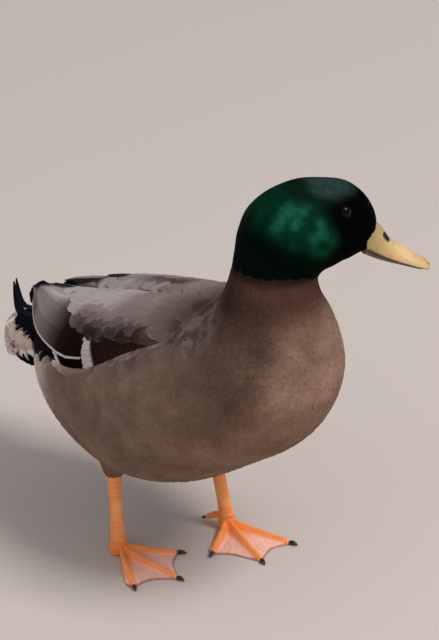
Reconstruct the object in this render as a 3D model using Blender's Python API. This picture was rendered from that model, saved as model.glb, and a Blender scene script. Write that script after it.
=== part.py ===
"""A mallard drake standing still, with its head turned to its left.

The bird is laid out in millimetres as (forward, left, up): forward is the way its breast
faces, and up starts at the floor. In the world it faces -Y, with its left side at +X.
"""

import math

import bmesh
import bpy
import numpy as np

MM = 0.001
GAP = 0.3  # left between neighbouring pieces
TRIM = 0.35  # how far a neighbour is grown before it trims a piece
RING_POINTS = 24
RING_STEPS = 2  # rings for each interval between two stations

# The trunk, neck and head are one run of sections. Each row is the place of the back line and
# of the belly line (forward, up), the half width, the squareness (2 is an ellipse), how far the
# widest place drops below the middle, and how far the section is turned to the left, in degrees.
STATIONS = (
    ("vent", -135, 129, -133, 108, 15, 2.0, 0.00, 0),
    ("rump", -123, 144, -119, 91, 34, 2.1, 0.00, 0),
    ("loin", -100, 156, -94, 71, 52.5, 2.1, 0.00, 0),
    ("hip", -66, 166, -54, 57, 66, 2.1, 0.00, 0),
    ("back", -26, 180, -8, 54, 73, 2.1, 0.04, 0),
    ("withers", 12, 194, 38, 68, 75, 2.1, 0.06, 0),
    ("shoulder", 38, 205, 82, 96, 71, 2.1, 0.06, 0),
    ("breast", 56, 215, 119, 124, 63, 2.0, 0.05, 0),
    ("crop", 66, 225, 142, 162, 53, 2.0, 0.04, 3),
    ("neck_base", 71, 238, 144, 196, 43, 2.0, 0.02, 9),
    ("lower_neck", 73, 251, 134, 225, 33, 2.0, 0.00, 18),
    ("neck", 74, 265, 130, 244, 28, 2.0, 0.00, 29),
    ("upper_neck", 76, 279, 132, 251, 28, 2.0, 0.00, 41),
    ("nape", 82, 295, 136, 255, 29, 2.0, 0.06, 51),
    ("hind_head", 96, 308, 141, 256, 29, 2.0, 0.12, 59),
    ("cheek", 116, 315, 145, 257.5, 28, 2.0, 0.20, 64),
    ("crown", 136, 314, 149, 258.5, 25.5, 2.0, 0.26, 66),
    ("brow", 151, 310, 153, 259.5, 21.5, 2.1, 0.26, 67),
    ("forehead", 162, 301, 156.5, 260, 17.5, 2.2, 0.20, 67),
    ("lores", 168.7, 290, 159, 260, 14.2, 2.3, 0.12, 67),
    ("bill_root", 171.3, 279, 160.8, 258.6, 12, 2.4, 0.04, 67),
)
STATION_NAMES = [row[0] for row in STATIONS]
NECK_FROM, HEAD_FROM = "neck_base", "neck"
NECK_AXIS = (102, 3)  # the upright line (forward, left) that the head turns about
AXIS_SETTLES = 30  # degrees of turn over which the neck moves onto that line

# The head's own terms are ahead along the bill, left, and above the line of the mouth.
MOUTH = (167, 261)  # forward and up of the mouth's root, before the head is turned
BILL_PITCH, HEAD_YAW = 25, 67
EYE_BEHIND, EYE_ABOVE, EYE_OUT, EYE_RADIUS = 36, 22, 15.6, 6

# Rows of the upper bill: ahead, half width, edge, top.
BILL_UPPER = (
    (-3.7, 10.6, -0.6, 16.6),
    (1.5, 10.0, -1.6, 15.2),
    (6, 9.4, -2.2, 12.8),
    (11, 9.2, -2.5, 9.7),
    (17, 9.3, -2.6, 7.9),
    (25, 9.9, -2.3, 6.3),
    (33, 11.0, -1.6, 4.3),
    (39.5, 10.9, -1.0, 2.6),
    (43.8, 8.6, -1.2, 1.6),
    (46.4, 4.0, -2.1, 0.2),
)
# Rows of the lower bill: ahead, half width, edge, underside.
BILL_LOWER = (
    (-3.7, 9.6, -1.2, -6.0),
    (6, 8.6, -2.8, -6.6),
    (17, 8.3, -3.2, -6.2),
    (25, 8.6, -2.9, -5.2),
    (33, 9.6, -2.2, -4.3),
    (39.5, 8.6, -1.7, -3.8),
    (43, 4.2, -2.4, -3.8),
)
BILL_POINTS, BILL_SQUARENESS, BILL_ARCH, BILL_HOLLOW = 16, 2.4, 0.85, 0.12

# Rows of the folded wing, which lies over an upright ellipse: forward, the ellipse's half width,
# its middle, its rise, the angle of the wing's lower edge, how far its outside stands off, and
# its depth from outside to inside.
WING = (
    (58, 71, 139, 72, 45.5, 1, 6),
    (42, 73, 131, 74, 42.5, 3, 8),
    (14, 73, 121, 75, 36, 5, 10),
    (-20, 71, 115, 69, 23.5, 7, 12),
    (-50, 66, 114, 60, 16, 8, 13),
    (-78, 58, 114, 49, 14, 9, 13),
    (-102, 48, 116, 39, 10, 9, 12),
    (-120, 38, 119, 31, 14, 8, 9),
    (-134, 28, 123, 24, 18, 6, 6),
)
WING_TIPS = {"left": (-152, 13, 130, 11, 20, 2.5, 2.8), "right": (-143, 20, 126, 20, 18, 3.5, 3)}
WING_MIDLINE = 3  # how far the wing's upper edge stays from the middle of the back
WING_EDGE = 2.2  # how far the wing's edges stand off
WING_EDGE_DEPTH = 0.25  # the depth at the wing's edges, as a share of the depth in its middle
# Rows of the tail: forward, half width, top, underside.
TAIL = (
    (-112, 28, 138, 104),
    (-128, 31, 130, 90),
    (-142, 33, 122.5, 88),
    (-154, 33, 116.5, 94),
    (-164, 30, 113, 101),
    (-173, 24, 110.5, 105),
    (-182, 15, 108.5, 106),
    (-190, 4, 107, 105.6),
)
TAIL_POINTS, TAIL_SQUARENESS, TAIL_DROOP = 20, 2.6, 3
# The curled tail feathers: how far out, where they bend (forward, up), and their size.
CURLS = (("tail_curl_left", 4.3, -180, 111, 1.0), ("tail_curl_right", -4.3, -177, 112, 0.95))
CURL_START, CURL_WIDTH, CURL_THICKNESS = (-153, 119.6), 8.0, 1.2
CURL_BEND, CURL_BEND_RADIUS, CURL_RISE, CURL_RISE_RADIUS = 68, 6.5, 16, 64

# Each foot: its side, where the joint of its toes is (forward, left), the degrees that it turns
# to the left, and where its hock is (forward, left).
FEET = {
    "left": (1, 5.5, 37.0, -13, -5.0, 34.5),
    "right": (-1, -12.0, -45.5, 9, -25.0, -39.0),
}
KNUCKLE_HEIGHT, HOCK_HEIGHT = 11.0, 55.0
TOES = (("inner", -39, 42), ("middle", 0, 57), ("outer", 34.5, 52))  # degrees outwards, length
TOE_WIDTH, TOE_HEIGHT, TOE_EDGE, TOE_TAPER = 4.1, 6.2, 6, 0.35
WEB_THICKNESS, WEB_SCALLOP, EDGE_SHORTER = 1.1, 0.15, 0.12
FOOT_FAN, FOOT_REACH = (3, 10, 9, 3), 8  # points between the toes, and along them
CLAW_LENGTH, CLAW_RADIUS, CLAW_TAPER = 5.2, 1.6, (1.0, 0.85, 0.55, 0.15)
HIND_TOE = ((0, 0, 8.4), (-5.5, -3.6, 8.0), (-10, -6.6, 5.8), (-13.5, -9.2, 3.4))
HIND_TOE_RADII = (2.9, 2.6, 2.2, 1.7)
KNUCKLE_RADII = (6.0, 6.2, 6.1, 5.6)
SHANK_RADII = (6.1, 5.3, 5.2, 5.6)  # from the joint of the toes up to the hock
THIGH_RISE, THIGH_LEAN, THIGH = 30, 8, ((0, 6.6), (0.25, 10.0), (0.6, 15.0), (1, 19.0))

GREEN, NECK_BROWN, BROWN = (0.005, 0.06, 0.035), (0.08, 0.05, 0.04), (0.13, 0.1, 0.08)
WING_BROWN, CREAM, STRAW = (0.12, 0.09, 0.07), (0.5, 0.45, 0.38), (0.62, 0.43, 0.16)
ORANGE, BLACK = (0.75, 0.2, 0.04), (0.01, 0.01, 0.012)


def through(rows, steps):
    """A smooth (Catmull-Rom) run through the rows, with this many steps in each interval."""
    rows = np.asarray(rows, float)
    padded = np.vstack([2 * rows[0] - rows[1], rows, 2 * rows[-1] - rows[-2]])
    count = len(rows) - 1
    place = np.linspace(0, count, count * steps + 1)
    index = np.minimum(place.astype(int), count - 1)
    t = (place - index)[:, None]
    a, b, c, d = (padded[index + k] for k in range(4))
    bend = (2 * a - 5 * b + 4 * c - d) * t**2 + (3 * b - a - 3 * c + d) * t**3
    return 0.5 * (2 * b + (c - a) * t + bend)


def circle(count):
    """The cosines and sines of evenly spaced angles."""
    angles = np.arange(count) * 2 * math.pi / count
    return np.cos(angles), np.sin(angles)


def squared(value, squareness):
    """A cosine or sine, pushed outwards as the section grows squarer."""
    return np.sign(value) * np.abs(value) ** (2 / squareness)


def turned(vectors, degrees):
    """Directions turned to the left about the upright."""
    angle = math.radians(degrees)
    forward, left, up = np.moveaxis(np.asarray(vectors, float), -1, 0)
    across = forward * math.sin(angle) + left * math.cos(angle)
    return np.stack([forward * math.cos(angle) - left * math.sin(angle), across, up], axis=-1)


def about_neck(points, degrees):
    """Points turned to the left about the upright line through the neck."""
    axis = np.array([NECK_AXIS[0], 0, 0])
    shift = np.array([0, NECK_AXIS[1] * min(degrees / AXIS_SETTLES, 1), 0])
    return turned(points - axis, degrees) + axis + shift


def body_sections():
    """The rings of the trunk, neck and head, and the direction that each ring faces."""
    cosines, sines = circle(RING_POINTS)
    rings, facings = [], []
    for row in through([station[1:] for station in STATIONS], RING_STEPS):
        back_forward, back_up, belly_forward, belly_up, half_width, squareness, drop, yaw = row
        middle = np.array([back_forward + belly_forward, 0, back_up + belly_up]) / 2
        rise = np.array([back_forward - belly_forward, 0, back_up - belly_up]) / 2
        side = squared(cosines, squareness)
        height = squared(sines, squareness) - drop * side**2
        ring = middle + height[:, None] * rise + side[:, None] * np.array([0, half_width, 0])
        facing = np.array([rise[2], 0, -rise[0]]) / np.hypot(rise[0], rise[2])
        rings.append(about_neck(ring, yaw))
        facings.append(turned(facing, yaw))
    return rings, facings


def from_head(points):
    """Points in the head's own terms, placed on the bird."""
    pitch = math.radians(BILL_PITCH)
    ahead, left, above = np.moveaxis(np.asarray(points, float), -1, 0)
    forward = MOUTH[0] + ahead * math.cos(pitch) + above * math.sin(pitch)
    up = MOUTH[1] - ahead * math.sin(pitch) + above * math.cos(pitch)
    return about_neck(np.stack([forward, left, up], axis=-1), HEAD_YAW)


def material(name, colour, roughness):
    made = bpy.data.materials.new(name)
    made.use_nodes = True
    shader = made.node_tree.nodes["Principled BSDF"]
    shader.inputs["Base Color"].default_value = (*colour, 1)
    shader.inputs["Roughness"].default_value = roughness
    shader.inputs["Metallic"].default_value = 0
    return made


def add_piece(name, shape, colour, roughness=0.6):
    """An object made from a bmesh that is laid out as (forward, left, up) in millimetres."""
    for vertex in shape.verts:
        forward, left, up = vertex.co
        vertex.co = (left * MM, -forward * MM, up * MM)
    bmesh.ops.recalc_face_normals(shape, faces=shape.faces[:])
    mesh = bpy.data.meshes.new(name)
    shape.to_mesh(mesh)
    shape.free()
    mesh.shade_smooth()
    mesh.set_sharp_from_angle(angle=math.radians(40))
    mesh.materials.append(material(name, colour, roughness))
    piece = bpy.data.objects.new(name, mesh)
    bpy.context.scene.collection.objects.link(piece)
    piece.parent = drake
    return piece


def helper(name, shape):
    """A shape that only trims or joins another, and isn't shown."""
    piece = add_piece(name, shape, BROWN)
    piece.hide_render = True
    piece.display_type = "WIRE"
    return piece


def combine(piece, other, operation):
    """Trims the piece with a helper, or joins the helper to it."""
    change = piece.modifiers.new(f"{operation.lower()} {other.name}", "BOOLEAN")
    change.operation = operation
    change.object = other


def lofted(rings):
    """A closed shape over the rings, with a fan of triangles at each end."""
    shape = bmesh.new()
    loops = [[shape.verts.new(point) for point in ring] for ring in rings]
    for first, second in zip(loops, loops[1:]):
        for k in range(len(first)):
            shape.faces.new((first[k - 1], first[k], second[k], second[k - 1]))
    for ring, loop in ((rings[0], loops[0]), (rings[-1], loops[-1])):
        centre = shape.verts.new(np.mean(ring, axis=0))
        for k in range(len(loop)):
            shape.faces.new((loop[k - 1], loop[k], centre))
    return shape


def grown(rings):
    """The rings with every point moved away from its ring's middle by the trim."""
    larger = []
    for ring in rings:
        outwards = ring - ring.mean(axis=0)
        larger.append(ring + TRIM * outwards / np.linalg.norm(outwards, axis=1)[:, None])
    return larger


def tube(points, radii, sides):
    """Round rings along a path."""
    points = np.asarray(points, float)
    along = np.gradient(points, axis=0)
    along /= np.linalg.norm(along, axis=1)[:, None]
    cosines, sines = circle(sides)
    rings = []
    for point, direction, radius in zip(points, along, radii):
        upright = np.array([1.0, 0, 0]) if abs(direction[2]) > 0.8 else np.array([0, 0, 1.0])
        across = np.cross(direction, upright)
        across /= np.linalg.norm(across)
        rise = np.cross(across, direction)
        rings.append(point + radius * (cosines[:, None] * across + sines[:, None] * rise))
    return rings


def add_body(rings, facings):
    """The trunk, the neck and the head, parted by thin cuts."""
    neck_ring = STATION_NAMES.index(NECK_FROM) * RING_STEPS
    head_ring = STATION_NAMES.index(HEAD_FROM) * RING_STEPS
    add_piece("trunk", lofted(rings[: neck_ring + 1]), BROWN)
    neck_start = rings[neck_ring] + GAP * facings[neck_ring]
    neck_rings = [neck_start, *rings[neck_ring + 1 : head_ring + 1]]
    add_piece("neck", lofted(neck_rings), NECK_BROWN)
    head_start = rings[head_ring] + GAP * facings[head_ring]
    head = add_piece("head", lofted([head_start, *rings[head_ring + 1 :]]), GREEN, 0.35)
    trimmer = helper("trunk_trimmer", lofted(grown(rings[: neck_ring + 1])))
    return head, trimmer


def ball(centre, radius, subdivisions):
    shape = bmesh.new()
    bmesh.ops.create_icosphere(shape, subdivisions=subdivisions, radius=radius)
    bmesh.ops.translate(shape, verts=shape.verts, vec=centre)
    return shape


def add_eye(name, side, head):
    centre = from_head([-EYE_BEHIND, side * EYE_OUT, EYE_ABOVE])
    add_piece(f"eye_{name}", ball(centre, EYE_RADIUS, 3), BLACK, 0.1)
    socket = helper(f"eye_socket_{name}", ball(centre, EYE_RADIUS + 2 * GAP, 2))
    combine(head, socket, "DIFFERENCE")


def add_bill_half(name, rows):
    """Half of the bill: rings that arch between its edge and its top or underside."""
    cosines, sines = circle(BILL_POINTS)
    side = squared(cosines, BILL_SQUARENESS)
    arch = np.maximum(sines, 0) ** BILL_ARCH + BILL_HOLLOW * np.maximum(-sines, 0)
    rings = []
    for ahead, half_width, edge, far in through(rows, 2):
        above = edge + (far - edge) * arch
        rings.append(from_head(np.stack([0 * side + ahead, half_width * side, above], axis=1)))
    add_piece(name, lofted(rings), STRAW, 0.4)


def add_wing(name, side, trunk_trimmer, tail_trimmer):
    """A folded wing: outside and inside arcs between its lower edge and the middle of the back."""
    across = np.linspace(0, 1, 9)
    arc = np.sin(np.pi * across) ** 0.7
    rings = []
    for row in through([*WING, WING_TIPS[name]], 2):
        forward, half_width, middle, rise, lowest, thickness, depth = row
        highest = math.degrees(math.acos(min(WING_MIDLINE / half_width, 1)))
        angle = np.radians(lowest + (highest - lowest) * across)
        outside = WING_EDGE + thickness * arc
        inside = outside - depth * (WING_EDGE_DEPTH + (1 - WING_EDGE_DEPTH) * arc)
        points = []
        for offset, turn in ((outside, angle), (inside[::-1], angle[::-1])):
            out = np.maximum((half_width + offset) * np.cos(turn), 2 * GAP)
            up = middle + (rise + offset) * np.sin(turn)
            points.append(np.stack([0 * out + forward, side * out, up], axis=1))
        rings.append(np.concatenate(points))
    wing = add_piece(f"wing_{name}", lofted(rings), WING_BROWN)
    combine(wing, trunk_trimmer, "DIFFERENCE")
    combine(wing, tail_trimmer, "DIFFERENCE")


def add_tail(trunk_trimmer):
    """The tail's fan over its thick coverts, and the shape that trims what rests on it."""
    cosines, sines = circle(TAIL_POINTS)
    side = squared(cosines, TAIL_SQUARENESS)
    rings = []
    for forward, half_width, top, under in through(TAIL, 2):
        up = (top + under) / 2 + sines * (top - under) / 2 - TAIL_DROOP * side**2
        rings.append(np.stack([0 * side + forward, half_width * side, up], axis=1))
    combine(add_piece("tail", lofted(rings), CREAM), trunk_trimmer, "DIFFERENCE")
    return helper("tail_trimmer", lofted(grown(rings)))


def add_curl(name, left, bend_forward, base, size, tail_trimmer):
    """A narrow feather that runs back over the tail, then bends up and tapers to its tip."""
    bend = np.radians(np.linspace(0, CURL_BEND, 6))
    rise = np.radians(np.linspace(CURL_BEND, CURL_BEND + CURL_RISE, 7))[1:]
    bend_back = bend_forward - size * CURL_BEND_RADIUS * np.sin(bend)
    rise_back = bend_back[-1] - size * CURL_RISE_RADIUS * (np.sin(rise) - np.sin(bend[-1]))
    bend_up = base + size * CURL_BEND_RADIUS * (1 - np.cos(bend))
    rise_up = bend_up[-1] + size * CURL_RISE_RADIUS * (np.cos(bend[-1]) - np.cos(rise))
    halfway = ((CURL_START[0] + bend_forward) / 2, (CURL_START[1] + base) / 2)
    forward = np.concatenate([[CURL_START[0], halfway[0]], bend_back, rise_back])
    up = np.concatenate([[CURL_START[1], halfway[1]], bend_up, rise_up])
    along = np.stack([np.gradient(forward), np.gradient(up)], axis=1)
    along /= np.linalg.norm(along, axis=1)[:, None]
    taper = 1 - np.linspace(0, 0.9, len(up)) ** 2.2
    rings = []
    for k in range(len(up)):
        half = size * CURL_WIDTH / 2 * taper[k]
        thick = CURL_THICKNESS / 2
        corners = ((-1, -1), (0, -1.2), (1, -1), (1, 1), (0, 1.2), (-1, 1))
        ring = [
            (
                forward[k] - deep * thick * along[k, 1],
                left + out * half,
                up[k] + deep * thick * along[k, 0],
            )
            for out, deep in corners
        ]
        rings.append(np.array(ring))
    combine(add_piece(name, lofted(rings), BLACK, 0.4), tail_trimmer, "DIFFERENCE")


def foot_grid(side):
    """Toes and web over the floor: thick along each toe, scalloped between them."""
    angles = np.array([toe[1] for toe in TOES], float)
    lengths = np.array([toe[2] for toe in TOES], float)
    marks = [angles[0] - TOE_EDGE, *angles, angles[-1] + TOE_EDGE]
    runs = [np.linspace(*ends, count, endpoint=False) for *ends, count in zip(marks, marks[1:], FOOT_FAN)]
    spread = np.concatenate([*runs, marks[-1:]])[:, None]
    share = np.linspace(0.05, 1, FOOT_REACH)
    dip = 0
    for before, after in zip(angles, angles[1:]):
        dip = dip + np.sin(np.pi * np.clip((spread - before) / (after - before), 0, 1))
    past = np.maximum(np.maximum(angles[0] - spread, spread - angles[-1]), 0) / TOE_EDGE
    reach = np.interp(spread, angles, lengths) * (1 - WEB_SCALLOP * dip - EDGE_SHORTER * past**2)
    radius = reach * share
    off_toe = np.radians(np.min(np.abs(spread - angles), axis=1))[:, None] * radius
    knuckle = (KNUCKLE_HEIGHT - TOE_HEIGHT) * np.exp(-radius / 7)
    crest = TOE_HEIGHT * (1 - 0.42 * share**1.5) + knuckle
    ridge = np.exp(-1.2 * (off_toe / (TOE_WIDTH * (1 - TOE_TAPER * share))) ** 2)
    top = WEB_THICKNESS + (crest - WEB_THICKNESS) * ridge
    heading = np.radians(spread)
    return np.stack([radius * np.cos(heading), side * radius * np.sin(heading), top], axis=-1)


def on_foot(points, name):
    """Points laid out about the joint of the toes, placed at that foot."""
    forward, left, degrees = FEET[name][1:4]
    return turned(points, degrees) + np.array([forward, left, 0])


def slab(grid):
    """A closed shape between a grid of points and the floor below it."""
    shape = bmesh.new()
    flat = grid * np.array([1, 1, 0])
    rows, columns = grid.shape[:2]
    sheets = []
    for points in (grid, flat):
        sheet = [[shape.verts.new(point) for point in row] for row in points]
        for i in range(rows - 1):
            for j in range(columns - 1):
                corners = (sheet[i][j], sheet[i + 1][j], sheet[i + 1][j + 1], sheet[i][j + 1])
                shape.faces.new(corners)
        sheets.append(sheet)
    rim = [(i, 0) for i in range(rows)]
    rim += [(rows - 1, j) for j in range(1, columns)]
    rim += [(i, columns - 1) for i in range(rows - 2, -1, -1)]
    rim += [(0, j) for j in range(columns - 2, 0, -1)]
    top, floor = sheets
    for (i, j), (m, n) in zip(rim, rim[1:] + rim[:1]):
        shape.faces.new((top[i][j], top[m][n], floor[m][n], floor[i][j]))
    return shape


def add_claw(name, foot_name, tip, behind, droop, scale):
    """A claw that leaves the tip of a toe and curves down towards the floor."""
    tip, behind = np.asarray(tip, float), np.asarray(behind, float)
    along = (tip - behind) / np.linalg.norm(tip - behind)
    share = np.linspace(0, 1, len(CLAW_TAPER))[:, None]
    path = tip + along * (2 * GAP + CLAW_LENGTH * scale * share)
    path[:, 2] += 0.5 * np.sin(np.pi * share[:, 0]) - droop * share[:, 0] ** 2
    rings = tube(on_foot(path, foot_name), CLAW_RADIUS * scale * np.array(CLAW_TAPER), 7)
    add_piece(f"claw_{name}_{foot_name}", lofted(rings), BLACK, 0.4)


def add_foot(name):
    """The web and toes, with the knuckle and the hind toe joined to them, and the claws."""
    side = FEET[name][0]
    foot = add_piece(f"foot_{name}", slab(on_foot(foot_grid(side), name)), ORANGE, 0.5)
    knuckle = [(0, 0, share * KNUCKLE_HEIGHT) for share in (0.06, 0.4, 0.75, 1)]
    rings = tube(on_foot(knuckle, name), KNUCKLE_RADII, 12)
    combine(foot, helper(f"knuckle_{name}", lofted(rings)), "UNION")
    hind = np.array(HIND_TOE) * np.array([1, side, 1])
    rings = tube(on_foot(hind, name), HIND_TOE_RADII, 10)
    combine(foot, helper(f"hind_toe_{name}", lofted(rings)), "UNION")
    add_claw("hind", name, hind[-1], hind[-2], 0, 0.8)
    for toe, degrees, length in TOES:
        heading = math.radians(degrees)
        height = CLAW_RADIUS + GAP / 2
        tip = (length * math.cos(heading), side * length * math.sin(heading), height)
        add_claw(toe, name, tip, (0, 0, height), 1.0, 1.0)


def add_shank_and_thigh(name, trunk_trimmer):
    _, forward, left, _, hock_forward, hock_left = FEET[name]
    share = np.linspace(0, 1, len(SHANK_RADII))[:, None]
    low = np.array([forward, left, KNUCKLE_HEIGHT + GAP])
    lean = low + (np.array([hock_forward, hock_left, HOCK_HEIGHT]) - low) * share
    rows = through(np.column_stack([lean, SHANK_RADII]), 3)
    level = tube(rows[:, :3], rows[:, 3], 12)
    for ring, height in zip(level, rows[:, 2]):
        ring[:, 2] = height
    add_piece(f"shank_{name}", lofted(level), ORANGE, 0.5)
    share, radii = through(THIGH, 2).T
    rise = np.stack([THIGH_LEAN * share, 0 * share, THIGH_RISE * share], axis=1)
    path = np.array([hock_forward, hock_left, HOCK_HEIGHT + GAP]) + rise
    rings = tube(path, radii, 16)
    rings[0][:, 2] = HOCK_HEIGHT + GAP
    combine(add_piece(f"thigh_{name}", lofted(rings), BROWN), trunk_trimmer, "DIFFERENCE")


def stand_on_origin():
    """Places the bird with the origin at floor level, below the middle of its box."""
    pieces = [child for child in drake.children if not child.hide_render]
    points = np.array([vertex.co for piece in pieces for vertex in piece.data.vertices])
    low, high = points.min(axis=0), points.max(axis=0)
    drake.location = (-(low[0] + high[0]) / 2, -(low[1] + high[1]) / 2, -low[2])


for leftover in list(bpy.data.objects):
    bpy.data.objects.remove(leftover)
drake = bpy.data.objects.new("drake", None)
bpy.context.scene.collection.objects.link(drake)

drake_head, trunk_space = add_body(*body_sections())
tail_space = add_tail(trunk_space)
add_bill_half("bill_upper", BILL_UPPER)
add_bill_half("bill_lower", BILL_LOWER)
for curl in CURLS:
    add_curl(*curl, tail_space)
for side_name, (side_sign, *_) in FEET.items():
    add_eye(side_name, side_sign, drake_head)
    add_wing(side_name, side_sign, trunk_space, tail_space)
    add_foot(side_name)
    add_shank_and_thigh(side_name, trunk_space)
stand_on_origin()
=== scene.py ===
import math

import bpy
import numpy as np
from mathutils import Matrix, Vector


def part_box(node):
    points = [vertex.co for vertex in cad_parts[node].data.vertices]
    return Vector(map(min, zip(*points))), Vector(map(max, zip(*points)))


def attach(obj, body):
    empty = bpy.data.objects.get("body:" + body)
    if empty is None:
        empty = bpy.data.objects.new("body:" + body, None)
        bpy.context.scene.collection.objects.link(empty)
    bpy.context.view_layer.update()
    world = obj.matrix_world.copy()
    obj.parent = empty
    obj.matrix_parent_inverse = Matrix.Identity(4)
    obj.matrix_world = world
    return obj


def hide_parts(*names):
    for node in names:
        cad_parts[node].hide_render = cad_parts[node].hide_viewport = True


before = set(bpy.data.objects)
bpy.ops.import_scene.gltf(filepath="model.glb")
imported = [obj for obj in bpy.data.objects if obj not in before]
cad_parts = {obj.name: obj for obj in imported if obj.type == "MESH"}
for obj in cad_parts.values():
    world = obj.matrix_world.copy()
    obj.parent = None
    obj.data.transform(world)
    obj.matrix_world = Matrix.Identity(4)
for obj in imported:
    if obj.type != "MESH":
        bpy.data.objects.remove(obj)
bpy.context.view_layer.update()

# The bird is laid out in millimetres as (forward, left, up). It faces -Y with its left at +X.
trunkLow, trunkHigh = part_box("trunk")
originX = (trunkLow.x + trunkHigh.x) / 2
originY = trunkHigh.y - 0.135  # the vent is 135 mm behind the layout's origin
sideName = {1: "left", -1: "right"}


def inWorld(points):
    # x = left, y = -forward, z = up, moved to where the trunk stands
    forward, left, up = np.moveaxis(np.asarray(points, float), -1, 0)
    return np.stack([originX + left / 1000, originY - forward / 1000, up / 1000], axis=-1)


def linear(*colour):
    # a display colour of 0 to 255, as the linear light that a shader takes
    value = np.array(colour) / 255
    return np.where(value < 0.04045, value / 12.92, ((value + 0.055) / 1.055) ** 2.4)


def curveAt(rows, place):
    # Catmull-Rom run through the rows, read at any place from 0 to the last row
    rows = np.asarray(rows, float)
    padded = np.vstack([2 * rows[0] - rows[1], rows, 2 * rows[-1] - rows[-2]])
    place = np.clip(place, 0, len(rows) - 1)
    index = np.minimum(place.astype(int), len(rows) - 2)
    t = (place - index)[..., None]
    a, b, c, d = (padded[index + k] for k in range(4))
    bend = (2 * a - 5 * b + 4 * c - d) * t**2 + (3 * b - a - 3 * c + d) * t**3
    return 0.5 * (2 * b + (c - a) * t + bend)


def squared(value, squareness):
    # a sine or cosine to the power 2 / squareness, its sign kept: 2 is round, more is boxier
    return np.sign(value) * np.abs(value) ** (2 / squareness)


def smooth(value, start, end):
    # 0 before start, 1 after end, and 3t^2 - 2t^3 between them
    t = np.clip((np.asarray(value, float) - start) / (end - start), 0, 1)
    return t * t * (3 - 2 * t)


def bump(value, centre, width):
    # exp(-((value - centre) / width)^2), which is 1 at the centre
    return np.exp(-(((value - centre) / width) ** 2))


def mix(first, second, share):
    # first + (second - first) * share, for colours
    return first + (second - first) * np.asarray(share)[..., None]


def turned(points, degrees):
    # (forward, left) turned to the left about the upright
    angle = np.radians(degrees)
    forward, left, up = np.moveaxis(points, -1, 0)
    across = forward * np.sin(angle) + left * np.cos(angle)
    return np.stack([forward * np.cos(angle) - left * np.sin(angle), across, up], axis=-1)


def unit(vectors):
    # each vector over its own length
    return vectors / (np.linalg.norm(vectors, axis=-1, keepdims=True) + 1e-12)


def around(count):
    # even angles round a full turn
    return np.linspace(0, 2 * np.pi, count, endpoint=False)


def edgeAt(edge, place):
    # a drawn edge, given as (place, value) points, read at any place
    points = np.array(edge, float)
    return np.interp(place, points[:, 0], points[:, 1])


def aboveEdge(edge, place, value):
    # how far a value lies above a drawn edge
    return value - edgeAt(edge, place)


cloudTerms = {"seed": 11, "cells": 32, "offset": 100}
cloudValues = np.random.default_rng(cloudTerms["seed"]).random((cloudTerms["cells"],) * 3)


def cloud(points, size):
    # soft lumps of 0 to 1: random values on a cubic lattice of this size, blended smoothly
    place = np.asarray(points, float) / size + cloudTerms["offset"]
    low = np.floor(place).astype(int)
    share = place - low
    share = share * share * (3 - 2 * share)
    total = 0
    for corner in np.ndindex(2, 2, 2):
        index = np.moveaxis((low + corner) % cloudTerms["cells"], -1, 0)
        weight = np.prod(np.where(np.array(corner) == 1, share, 1 - share), axis=-1)
        total = total + weight * cloudValues[tuple(index)]
    return total


# Rows from tail to bill: back line (forward, up), belly line (forward, up), half width,
# squareness, drop of the widest place, and turn to the left in degrees.
bodyRows = (
    (-135, 129, -133, 108, 15, 2.0, 0.00, 0),
    (-123, 144, -119, 91, 34, 2.1, 0.00, 0),
    (-100, 156, -94, 71, 52.5, 2.1, 0.00, 0),
    (-66, 166, -54, 57, 66, 2.1, 0.00, 0),
    (-26, 180, -8, 54, 73, 2.1, 0.04, 0),
    (12, 194, 38, 68, 75, 2.1, 0.06, 0),
    (38, 205, 82, 96, 71, 2.1, 0.06, 0),
    (56, 215, 119, 124, 63, 2.0, 0.05, 0),
    (66, 225, 142, 162, 53, 2.0, 0.04, 3),
    (71, 238, 144, 196, 43, 2.0, 0.02, 9),
    (73, 251, 134, 225, 33, 2.0, 0.00, 18),
    (74, 265, 130, 244, 28, 2.0, 0.00, 29),
    (76, 279, 132, 251, 28, 2.0, 0.00, 41),
    (82, 295, 136, 255, 29, 2.0, 0.06, 51),
    (96, 308, 141, 256, 29, 2.0, 0.12, 59),
    (116, 315, 145, 257.5, 28, 2.0, 0.20, 64),
    (136, 314, 149, 258.5, 25.5, 2.0, 0.26, 66),
    (151, 310, 153, 259.5, 21.5, 2.1, 0.26, 67),
    (162, 301, 156.5, 260, 17.5, 2.2, 0.20, 67),
    (168.7, 290, 159, 260, 14.2, 2.3, 0.12, 67),
    (171.3, 279, 160.8, 258.6, 12, 2.4, 0.04, 67),
)
neckTurn = {"axis": (102, 3), "settles": 30}


def aboutNeck(points, degrees):
    # a turn about the neck's upright line, which itself settles 3 mm to the left
    axis = np.array([neckTurn["axis"][0], 0, 0])
    aside = neckTurn["axis"][1] * np.clip(degrees / neckTurn["settles"], 0, 1)
    moved = turned(points - axis, degrees) + axis
    moved[..., 1] += aside
    return moved


def bodyAt(place, turn):
    # middle + height * rise + side * half width, with side and height a squared cos and sin
    row = np.moveaxis(curveAt(bodyRows, place), -1, 0)
    backForward, backUp, bellyForward, bellyUp, halfWidth, squareness, drop, yaw = row
    side = squared(np.cos(turn), squareness)
    height = squared(np.sin(turn), squareness) - drop * side**2
    forward = (backForward + bellyForward) / 2 + height * (backForward - bellyForward) / 2
    up = (backUp + bellyUp) / 2 + height * (backUp - bellyUp) / 2
    return aboutNeck(np.stack([forward, side * halfWidth, up], axis=-1), yaw)


headTerms = {"mouth": (167, 261), "pitch": 25, "yaw": 67}


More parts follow.
